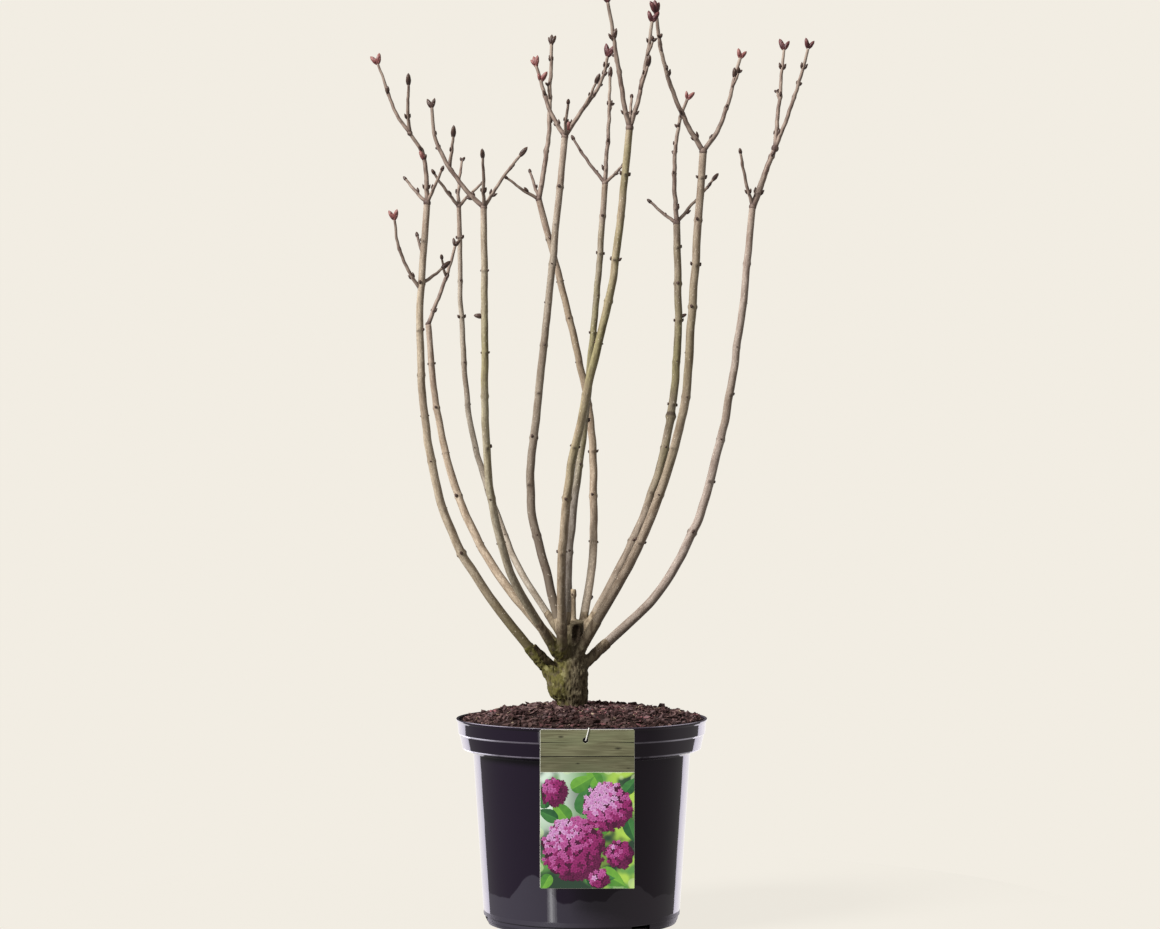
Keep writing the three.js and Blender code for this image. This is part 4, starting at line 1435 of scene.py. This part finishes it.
def scattered(kind, seed):
    """Bits of one kind strewn over the soil, clear of the trunk, the red ones mostly right of the middle."""
    count, half_length, half_width, flatness, _, _ = CRUMBS[kind]
    _, trunk_across, trunk_radius = TRUNK_RINGS[0]
    fine = dice(seed)
    bits = []
    while len(bits) < count:
        x, y = random_spot(3, fine)
        if math.hypot(x - trunk_across, y) < trunk_radius:
            continue
        reddest = 0.55 * math.exp(-(((x - 42) / 42) ** 2))
        if kind == "red_chips" and reddest + 0.5 * ripple([(x, y, 0)], 60, 1)[0] < 0.3 * fine():
            continue
        size = (lerp(*half_length, fine() ** 2), lerp(*half_width, fine()))
        place = np.array([x, y, ground(x, y) + lerp(-0.2, 0.5, fine()) * size[1]])
        bits.append(rough_crumb(place, size, flatness, 2 * math.pi * fine(), 2.0 * (fine() - 0.5), fine))
    return bits


def clods(seed):
    """The big lumps, each of three bits."""
    fine = dice(seed)
    lumps = []
    for x, y, half in CLODS:
        middle = np.array([x, y, ground(x, y) + 0.25 * half])
        for _ in range(3):
            place = middle + half * np.array([fine() - 0.5, fine() - 0.5, 0.5 * fine()])
            size = (half * lerp(0.5, 0.9, fine()), half * lerp(0.4, 0.7, fine()))
            lumps.append(rough_crumb(place, size, 0.9, 2 * math.pi * fine(), 1.2 * (fine() - 0.5), fine))
    return lumps


def fibres(seed):
    """Thin strands of root and straw lying on the soil."""
    fine = dice(seed)
    strands = []
    for _ in range(FIBRES):
        middle_x, middle_y = random_spot(12, fine)
        yaw = 2 * math.pi * fine()
        bend = fine() - 0.5
        half = lerp(2.5, 7, fine())
        line = []
        for u in np.linspace(-1, 1, 7):
            x = middle_x + half * u * math.cos(yaw + bend * u)
            y = middle_y + half * u * math.sin(yaw + bend * u)
            line.append((x, y, ground(x, y) + 1.4 + 0.6 * u * bend))
        strands.append(tube(line, np.full(7, lerp(0.25, 0.5, fine())), 5))
    return strands


def make_soil():
    # The bed is darker than the crumbs, as painted shade in the gaps between them.
    earth = soil_material("soil_bed", (48, 33, 32), (26, 17, 17))
    piece("soil_bed", soil_bed(), earth, "soil", ["potting_soil"])
    more = {"peat": clods(SOIL_SEEDS["clods"]), "tan_bits": fibres(SOIL_SEEDS["fibres"])}
    for i, (kind, (*_, light, dark)) in enumerate(CRUMBS.items()):
        bits = scattered(kind, SOIL_SEEDS["crumbs"] + i) + more.get(kind, [])
        piece("soil_" + kind, joined(bits), soil_material(kind, light, dark), "soil", smooth=False)


# ---- Label ----

CARD_FRONT = -(LIP_RADIUS + GAP + LABEL["thickness"])
CARD_CORNER = 1.2
PRINT_MARGIN = 0.3
PRINT_THICKNESS = 0.06
PLANK_HEIGHTS = (13.0, 1.0, 14.0, 1.0, 16.2)  # plank, gap, plank, gap, plank, from the top
PICTURE_DROP = 0.4  # between the planks and the picture
KNOTS = [
    # Across and down as millimetres from the label's top left corner, half length.
    (22, 7.5, 3.4),
    (83, 20, 4.2),
    (40, 36, 3.0),
    (94, 41, 2.4),
]
TIE = {"width": 1.2, "thickness": 0.8, "slant": 3.6, "slant_length": 14}  # slimmer than its solid
TIE_SIDES = 12


def grown(rectangle, margin):
    """A rectangle of left, right, bottom and top with a margin added all round."""
    left, right, bottom, top = rectangle
    return left - margin, right + margin, bottom - margin, top + margin


def plate(rectangle, back, thickness, corner=0.1, tint=0.0):
    """A thin upright plate that faces the front, with its corners and front edges taken off."""
    points = []
    for inset, depth in ((0, 0), (0, 0.6), (min(0.25, thickness * 0.4), 1)):
        cut = corner + inset
        a, b, c, d = grown(rectangle, -inset)
        around = [(a + cut, c), (b - cut, c), (b, c + cut), (b, d - cut)]
        around += [(b - cut, d), (a + cut, d), (a, d - cut), (a, c + cut)]
        points += [(x, back - depth * thickness, z) for x, z in around]
    return Shape(points, tube_faces(3, 8), tint=np.full(24, tint))


def flat_blade(radii, flattening, turn, place, lift, ridge, tint, heart):
    """A thin closed blade lying on the print. `radii` run round it; its middle is raised to a ridge."""
    n = len(radii)
    around = bearings(n) + turn
    x = place[0] + radii * np.cos(around)
    z = place[2] + flattening * radii * np.sin(around)
    return blade_of(x, z, place[1], lift, ridge, tint, heart)


def blade_of(x, z, depth, lift, ridge, tint, heart):
    """Such a blade from the places of its rim."""
    n = len(x)
    back = np.stack([x, np.full(n, depth), z], 1)
    rim = back - (0, lift, 0)
    points = np.vstack([back, rim, rim.mean(0) - (0, ridge, 0)])
    faces = grid_faces(2, n, True) + [tuple(range(n))[::-1]]
    faces += [(n + k, n + (k + 1) % n, 2 * n) for k in range(n)]
    return Shape(points, faces, tint=np.append(np.full(2 * n, tint), heart))


def closed_sheet(front, back_depth, tints):
    """A thin closed body: a grid of points that faces the front, and a flat back behind it."""
    rows, columns, _ = front.shape
    back = front.copy()
    back[:, :, 1] = back_depth
    size = rows * columns
    faces = grid_faces(rows, columns)
    faces += [tuple(i + size for i in face) for face in turned_out(faces)]
    index = np.arange(size).reshape(rows, columns)
    rim = [*index[0, :], *index[1:, -1], *index[-1, -2::-1], *index[-2:0:-1, 0]]
    faces += [(q, p, p + size, q + size) for p, q in zip(rim, rim[1:] + rim[:1])]
    return Shape(np.stack([front, back]), faces, tint=np.tile(tints.ravel(), 2))


LEAF_ROWS = np.array([0, 0.06, 0.16, 0.28, 0.42, 0.56, 0.7, 0.83, 0.93, 1])[:, None]
LEAF_COLUMNS = np.array([-1, -0.6, -0.1, 0, 0.1, 0.6, 1])


def leaf(foot, bearing, long, limits):
    """A heart-shaped leaf with a pale midrib, one half of it in the shade."""
    left, right, bottom, top = limits
    half = 0.3 * long * np.sin(math.pi * LEAF_ROWS**0.62).clip(0.03) ** 0.8
    across = half * LEAF_COLUMNS
    along = long * LEAF_ROWS - 0.05 * long * LEAF_COLUMNS**2
    c, s = math.cos(bearing), math.sin(bearing)
    relief = 0.04 + 0.1 * np.abs(LEAF_COLUMNS) ** 0.5 * (1.1 - LEAF_COLUMNS**2)
    depth = np.broadcast_to(foot[1] - relief, across.shape)
    x = (foot[0] + across * c - along * s).clip(left, right)
    z = (foot[2] + across * s + along * c).clip(bottom, top)
    veins = 0.16 * (np.arange(len(LEAF_ROWS)) % 2)[:, None] * (np.abs(LEAF_COLUMNS) > 0.3)
    shaded = np.where(LEAF_COLUMNS > 0.05, 0.62, 0.12) + veins + 0.2 * (1 - LEAF_ROWS)
    on_midrib = np.abs(LEAF_COLUMNS) < 0.05
    return closed_sheet(np.stack([x, depth, z], -1), foot[1], np.where(on_midrib, 0.0, shaded))


def floret(place, size, turn, fine):
    """A five-petalled flower, seen from the front."""
    reach = size * (0.5 + 0.5 * np.abs(np.cos(2.5 * bearings(20))) ** 0.6)
    return flat_blade(reach, 1, turn, place, 0.03, 0.1, 0.25 * fine(), 0.9)


FLOWER_BALLS = [
    # Middle and radius of each ball of flowers, as shares of the picture's width, and how pale it is.
    (0.35, 0.42, 0.34, 1.0),
    (0.72, 0.87, 0.26, 1.5),
    (0.85, 0.36, 0.15, 0.3),
    (0.14, 1.02, 0.15, 0.2),
    (0.62, 0.10, 0.11, 0.6),
]
FLORET = {"size": 3.1, "cover": 2.9}
LIGHT = np.array([-0.52, 0.62, 0.58])  # from where the picture is lit: left, up and out of it
LEAVES = [
    # Foot across and up, as shares of the width, bearing in degrees left of upright, length.
    (0.30, 0.72, 38, 0.30),
    (0.44, 0.80, -14, 0.34),
    (0.56, 0.62, -70, 0.30),
    (0.18, 0.74, 66, 0.24),
    (0.64, 0.18, -120, 0.32),
    (0.50, 0.10, -88, 0.30),
    (0.10, 0.14, 150, 0.22),
    (0.93, 0.72, -160, 0.26),
    (0.62, 1.10, 30, 0.26),
    (0.90, 1.02, -40, 0.22),
    (0.34, 1.06, -60, 0.28),
    (0.05, 0.86, 10, 0.24),
]
PRINTS = {
    # Colour and heart of what is printed, the leaves first and then the florets from deep to pale.
    "label_leaves": ((128, 190, 70), (64, 124, 50)),
    "label_dark_leaves": ((76, 142, 72), (32, 78, 46)),
    "label_wine_florets": ((126, 34, 88), (66, 16, 46)),
    "label_magenta_florets": ((176, 52, 126), (104, 22, 72)),
    "label_pink_florets": ((214, 112, 180), (140, 44, 106)),
    "label_lilac_florets": ((236, 190, 230), (176, 92, 164)),
}


def speckled_material(name, size, pale, deep, bump_size, bump_depth):
    look = Shader(name, 0.4, 0.4)
    look.base = look.mix(look.noise(size), pale, deep)
    look.bump(look.noise(bump_size), bump_depth)
    return look.done()


def plank_material():
    """Printed boards of weathered olive-green wood, with their grain across the label."""
    look = Shader("label_planks", 0.4, 0.3)
    grain = look.patches(1.5, 0.34, 0.66, across=0.05, detail=6.0)
    look.base = look.mix(grain, (127, 125, 96), (98, 95, 70))
    look.paint((114, 119, 88), look.patches(16, 0.40, 0.66, across=0.3), 0.5)
    look.paint((74, 70, 44), look.patches(3.2, 0.56, 0.70, across=0.08, detail=5.0), 0.6)
    return look.done((30, 28, 18))


def backdrop_material():
    """A garden out of focus: dark green, leaf green and near-white, with soft discs of light."""
    look = Shader("label_backdrop", 0.35, 0.4)
    look.base = look.mix(look.patches(26, 0.38, 0.58, detail=1.0), (44, 66, 50), (96, 150, 76))
    bright = look.patches(18, 0.42, 0.60, detail=1.0)
    look.paint((170, 206, 84), look.times(bright, look.ramp("X", 0.004, 0.044)))
    pale = look.times(look.ramp("X", 0.012, -0.036), look.ramp("Z", 0.085, 0.150))
    look.paint((214, 232, 214), look.times(pale, look.patches(22, 0.34, 0.52, detail=1.0)))
    cells = look.cells(15)
    disc = look.steps(cells["Distance"], 0.42, 0.34)
    chosen = look.steps(look.node("SeparateColor", {"Color": cells["Color"]}).outputs[0], 0.5, 0.7)
    look.paint((206, 226, 170), look.times(disc, chosen), 0.45)
    return look.done()


def printed_material(name, colour, heart):
    look = Shader(name, 0.38, 0.4)
    look.base = look.mix(look.noise(3.5), colour, linear(colour, 0.7))
    return look.done(heart)


def hole_cutter(across, up, radius):
    """A level rod through the card, to cut a round hole."""
    rod = rings([radius, radius], [CARD_FRONT + 4, CARD_FRONT - 4], 32)
    return mesh_object("hole", rod[:, [1, 2, 0]] + (across, 0, up), turned_out(tube_faces(2, 32)))


def make_label():
    edge = LABEL["middle"] - LABEL["width"] / 2
    outline = (edge, edge + LABEL["width"], LABEL["top"] - LABEL["height"], LABEL["top"])
    left, right, bottom, top = grown(outline, -PRINT_MARGIN)
    paper = speckled_material("label_card", 20, (222, 220, 206), (206, 206, 190), 9, 0.05)
    card = plate(outline, CARD_FRONT + LABEL["thickness"], LABEL["thickness"], corner=CARD_CORNER)
    body = piece("label_card_body", card, paper, "label", ["label_card"], smooth=False)
    planks = []
    high = top
    for k, deep in enumerate(PLANK_HEIGHTS):
        gap = k % 2 == 1
        thickness = PRINT_THICKNESS / 3 if gap else PRINT_THICKNESS
        tint = 1.0 if gap else 0.07 * k
        planks.append(plate((left, right, high - deep, high), CARD_FRONT, thickness, tint=tint))
        high -= deep
    for across, down, half in KNOTS:
        spot = (left + across, CARD_FRONT - PRINT_THICKNESS, top - down)
        planks.append(flat_blade(np.full(16, half), 0.36, 0, spot, 0.02, 0.02, 0.3, 1.0))
    wood = piece("label_planks", joined(planks), plank_material(), "label", smooth=False)
    hole = (LABEL["middle"] + LABEL_HOLE["aside"], LABEL["top"] - LABEL_HOLE["below"])
    cut_away(body, [hole_cutter(*hole, LABEL_HOLE["radius"])])
    cut_away(wood, [hole_cutter(*hole, LABEL_HOLE["radius"] + 0.1)])
    make_picture((left, right, bottom, high - PICTURE_DROP))
    make_tie(*hole)


def flower_ball(middle, reach, paleness, limits, face, colours, fine):
    """A round head of flowers, bright where it faces the light. `colours` runs from deep to pale."""
    left, right, bottom, top = limits
    around = bearings(40)
    rim = 0.95 * reach * (1 + 0.05 * np.sin(7 * around) + 0.04 * np.sin(11 * around + 1))
    x = (middle[0] + rim * np.cos(around)).clip(left, right)
    z = (middle[1] + rim * np.sin(around)).clip(bottom, top)
    colours[0].append(blade_of(x, z, face - 0.14, 0.03, 0.02, 0.9, 0.9))
    count = int(FLORET["cover"] * (reach / FLORET["size"]) ** 2)
    for k in range(count):
        share = math.sqrt(fine())
        bearing = 2 * math.pi * fine()
        out = np.array([math.cos(bearing), math.sin(bearing)]) * share
        size = FLORET["size"] * lerp(0.8, 1.15, fine()) * lerp(1.0, 0.8, share**3)
        x, z = middle + out * reach
        lit = np.array([*out, math.sqrt(1 - share**2)]) @ LIGHT
        lit += 0.35 * (fine() - 0.5) + 0.3 * (k / count - 0.5)
        pick = int(np.clip(2.2 * lit + paleness, 0, 3.99))
        if left + size < x < right - size and bottom + size < z < top - size:
            spot = (x, face - 0.2 - 0.3 * (1 - share**2) - 0.08 * k / count, z)
            colours[pick].append(floret(spot, size, 6.28 * fine(), fine))


def make_picture(rectangle):
    """A plain picture of round flower heads and leaves before a blurred garden."""
    left, right, bottom, _ = rectangle
    wide = right - left
    limits = grown(rectangle, -0.1)
    backdrop = plate(rectangle, CARD_FRONT, PRINT_THICKNESS)
    piece("label_backdrop", backdrop, backdrop_material(), "label", smooth=False)
    face = CARD_FRONT - PRINT_THICKNESS
    shapes = [[] for _ in PRINTS]
    for i, (across, up, bearing, long) in enumerate(LEAVES):
        foot = (left + across * wide, face - 0.008 * i, bottom + up * wide)
        shapes[i % 2].append(leaf(foot, math.radians(bearing), long * wide, limits))
    fine = dice(SEEDS["flowers"])
    for across, up, radius, paleness in FLOWER_BALLS:
        middle = np.array([left + across * wide, bottom + up * wide])
        flower_ball(middle, radius * wide, paleness, limits, face, shapes[2:], fine)
    for (name, colours), printed in zip(PRINTS.items(), shapes):
        piece(name, joined(printed), printed_material(name, *colours), "label", smooth=False)


def make_tie(across, up):
    """A flat strap through the label's hole, up its face, over the pot's lip and down to the soil."""
    thick = TIE["thickness"]
    front = CARD_FRONT - GAP - thick / 2
    over = POT_HEIGHT + GAP + thick / 2
    inner = -(LIP_RADIUS - 3 - GAP) + thick / 2
    corners = [
        (CARD_FRONT + 1.2, up - 0.4, 0),
        (front, up - 0.2, 1.2),
        (front, over, 1.5),
        (inner, over, 1.2),
        (inner, SOIL["edge"] + 2 * GAP, 0),
    ]
    line = rounded_profile(corners, 8)
    ahead = unit(np.gradient(line, axis=0))
    turn = bearings(TIE_SIDES)
    wide = 0.5 * TIE["width"] * np.sign(np.cos(turn)) * np.abs(np.cos(turn)) ** 0.5
    deep = 0.5 * thick * np.sign(np.sin(turn)) * np.abs(np.sin(turn)) ** 0.7
    x = across + TIE["slant"] * np.minimum(arc_lengths(line) / TIE["slant_length"], 1)[:, None] + wide
    y = line[:, :1] + ahead[:, 1:] * deep
    z = line[:, 1:] - ahead[:, :1] * deep
    strap = Shape(np.stack([x, y, z], -1), tube_faces(len(line), TIE_SIDES))
    material = speckled_material("label_tie", 1.6, (236, 234, 228), (214, 212, 202), 0.8, 0.04)
    piece("label_strap", strap, material, "tie", ["label_tie"])


# ---- Building the plant ----


def make_plant():
    for bough in BOUGHS.values():
        limbs_placed.append(along_bough(bough, np.linspace(0, 1, 41)))
    for i, (name, bough) in enumerate(BOUGHS.items()):
        bark = bough_material("bark_" + name, **bough["looks"])
        piece("bark_" + name, bough_shape(bough, i), bark, "bough_bark", ["bough_" + name])
        place_bough_buds(bough, i)
    place_long_buds()
    lines_by_mass = {name: grow_twigs(name, SEEDS["twigs"] + i) for i, name in enumerate(TWIGS)}
    place_extra_buds(lines_by_mass, dice(SEEDS["extra_buds"]))
    for i, (at, sizes) in enumerate(SIDE_TWIGS.values()):
        grow_side_twig(at, sizes, SEEDS["side_twigs"] + i)
    twig_nodes = ["twigs_" + name for name in TWIGS] + list(SIDE_TWIGS)
    piece("twig_shoots", joined(shoots), twig_material(), "twig_bark", twig_nodes)
    for colour, buds in buds_by_colour.items():
        name = colour + "_buds"
        piece(name, joined(buds), bud_material(name, *BUD_COLOURS[colour]), "twig_bark")
    piece("trunk_bark", trunk_shape(), trunk_material(), "old_bark", ["trunk"])


# ---- Studio ----

PALE = (0.887, 0.847, 0.768)
KEY = {"azimuth": -56, "elevation": 36, "strength": 5.2, "softness": 20}
SKY_LIGHT = 0.33
FLOOR_GLOW = 0.92  # the share of the floor's light that is its own, so that shadows stay faint
FLOOR_RADIUS = 600
POT_MIDDLE = (0, 0, 0.12)
# The wall behind the plant as the pot mirrors it: as pale as the floor in the middle, bright at its two ends.
BACK_WALL = {"half": 2.08, "back": 2.2, "height": 1.2, "up": -0.4}
BACK_WALL_STRIPS = (0.887, 1.05, 1.45, 2.0, 2.6, 3.1, 3.4)  # radiance from the middle outwards
BACK_WALL_TONES = (np.array([1.0, 0.955, 0.866]), np.array([0.89, 0.84, 1.0]))
# The window that the pot mirrors, as panels one in front of the other: width and radiance.
WINDOW = [(0.22, 2.2), (0.14, 2.6), (0.06, 4.0)]
WINDOW_PLACE = {"across": -0.67, "front": -1.0, "up": -0.25, "height": 0.7, "step": 0.01}
CAMERA = {"across": -1.9, "back": -3254, "height": 509.5, "millimetres_per_pixel": 1.1164, "pixels": 1160}
SENSOR_WIDTH = 36


def make_camera():
    data = bpy.data.cameras.new("camera")
    data.sensor_fit = "HORIZONTAL"
    data.sensor_width = SENSOR_WIDTH
    data.lens = SENSOR_WIDTH * -CAMERA["back"] / (CAMERA["millimetres_per_pixel"] * CAMERA["pixels"])
    data.clip_end = 100
    camera = place_object("camera", data)
    camera.location = Vector((CAMERA["across"], CAMERA["back"], CAMERA["height"])) * MM
    camera.rotation_euler = (math.pi / 2, 0, 0)
    bpy.context.scene.camera = camera


def place_light(name, kind, energy, towards):
    """A lamp whose back is turned `towards` a direction."""
    data = bpy.data.lights.new(name, kind)
    data.energy = energy
    lamp = place_object(name, data)
    lamp.rotation_euler = towards.to_track_quat("Z", "Y").to_euler()
    return lamp


def add_sun(name, azimuth, elevation, strength, softness):
    """A far lamp; azimuth is degrees to the right of the camera's side, as seen from above."""
    a = math.radians(azimuth)
    e = math.radians(elevation)
    towards = Vector((math.sin(a) * math.cos(e), -math.cos(a) * math.cos(e), math.sin(e)))
    place_light(name, "SUN", strength, towards).data.angle = math.radians(softness)


def add_gloss_panel(name, place, size, radiance, tone=(1, 1, 1), aim=POT_MIDDLE):
    """A bright panel that only glossy surfaces see, facing the pot or another aim."""
    energy = radiance * math.pi * size[0] * size[1]
    panel = place_light(name, "AREA", energy, Vector(place) - Vector(aim))
    panel.data.color = tone
    panel.data.shape = "RECTANGLE"
    panel.data.size, panel.data.size_y = size
    panel.location = place
    panel.visible_camera = False
    panel.visible_diffuse = False


def add_back_wall():
    strips = BACK_WALL_STRIPS[::-1] + BACK_WALL_STRIPS
    wide = 2 * BACK_WALL["half"] / len(strips)
    for k, radiance in enumerate(strips):
        across = (k + 0.5) * wide - BACK_WALL["half"]
        tone = lerp(*BACK_WALL_TONES, (abs(across) / BACK_WALL["half"]) ** 0.7)
        place = (across, BACK_WALL["back"], BACK_WALL["up"])
        aim = (across, 0, BACK_WALL["up"])
        add_gloss_panel("back_wall_%02d" % k, place, (wide, BACK_WALL["height"]), radiance, tone, aim)


def make_floor():
    """The floor takes shadows, but lights and mirrors nothing."""
    floor = mesh_object("floor", rings([FLOOR_RADIUS], [0], 96), [tuple(range(96))])
    look = Shader("floor", 1.0, 0.0)
    light = KEY["strength"] * math.sin(math.radians(KEY["elevation"])) / math.pi + SKY_LIGHT
    look.base = tuple((1 - FLOOR_GLOW) * c / light for c in PALE) + (1.0,)
    look.surface["Emission Color"].default_value = PALE + (1.0,)
    look.surface["Emission Strength"].default_value = FLOOR_GLOW
    floor.data.materials.append(look.done())
    floor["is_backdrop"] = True
    floor.visible_diffuse = False
    floor.visible_glossy = False
    floor.visible_shadow = False


def make_world():
    """A soft sky that lights the plant, and the photo's pale ground where the camera looks past it."""
    world = bpy.data.worlds.new("studio")
    bpy.context.scene.world = world
    world.use_nodes = True
    tree = world.node_tree
    seen = tree.nodes["Background"]
    seen.inputs["Color"].default_value = PALE + (1.0,)
    lit = tree.nodes.new("ShaderNodeBackground")
    lit.inputs["Color"].default_value = (1.0, 0.98, 0.95, 1.0)
    lit.inputs["Strength"].default_value = SKY_LIGHT
    chosen = tree.nodes.new("ShaderNodeMixShader")
    ray = tree.nodes.new("ShaderNodeLightPath")
    tree.links.new(ray.outputs["Is Camera Ray"], chosen.inputs["Fac"])
    tree.links.new(lit.outputs["Background"], chosen.inputs[1])
    tree.links.new(seen.outputs["Background"], chosen.inputs[2])
    tree.links.new(chosen.outputs["Shader"], tree.nodes["World Output"].inputs["Surface"])


def make_studio():
    make_camera()
    make_floor()
    make_world()
    add_sun("key", **KEY)
    add_back_wall()
    for k, (wide, radiance) in enumerate(WINDOW):
        front = WINDOW_PLACE["front"] + WINDOW_PLACE["step"] * k
        place = (WINDOW_PLACE["across"], front, WINDOW_PLACE["up"])
        add_gloss_panel("window_%d" % k, place, (wide, WINDOW_PLACE["height"]), radiance)
    bpy.context.scene.view_settings.view_transform = "Standard"


make_studio()
make_pot()
make_soil()
make_label()
make_plant()

boxes = [[list(corner) for corner in box] for box in (cad_box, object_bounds())]
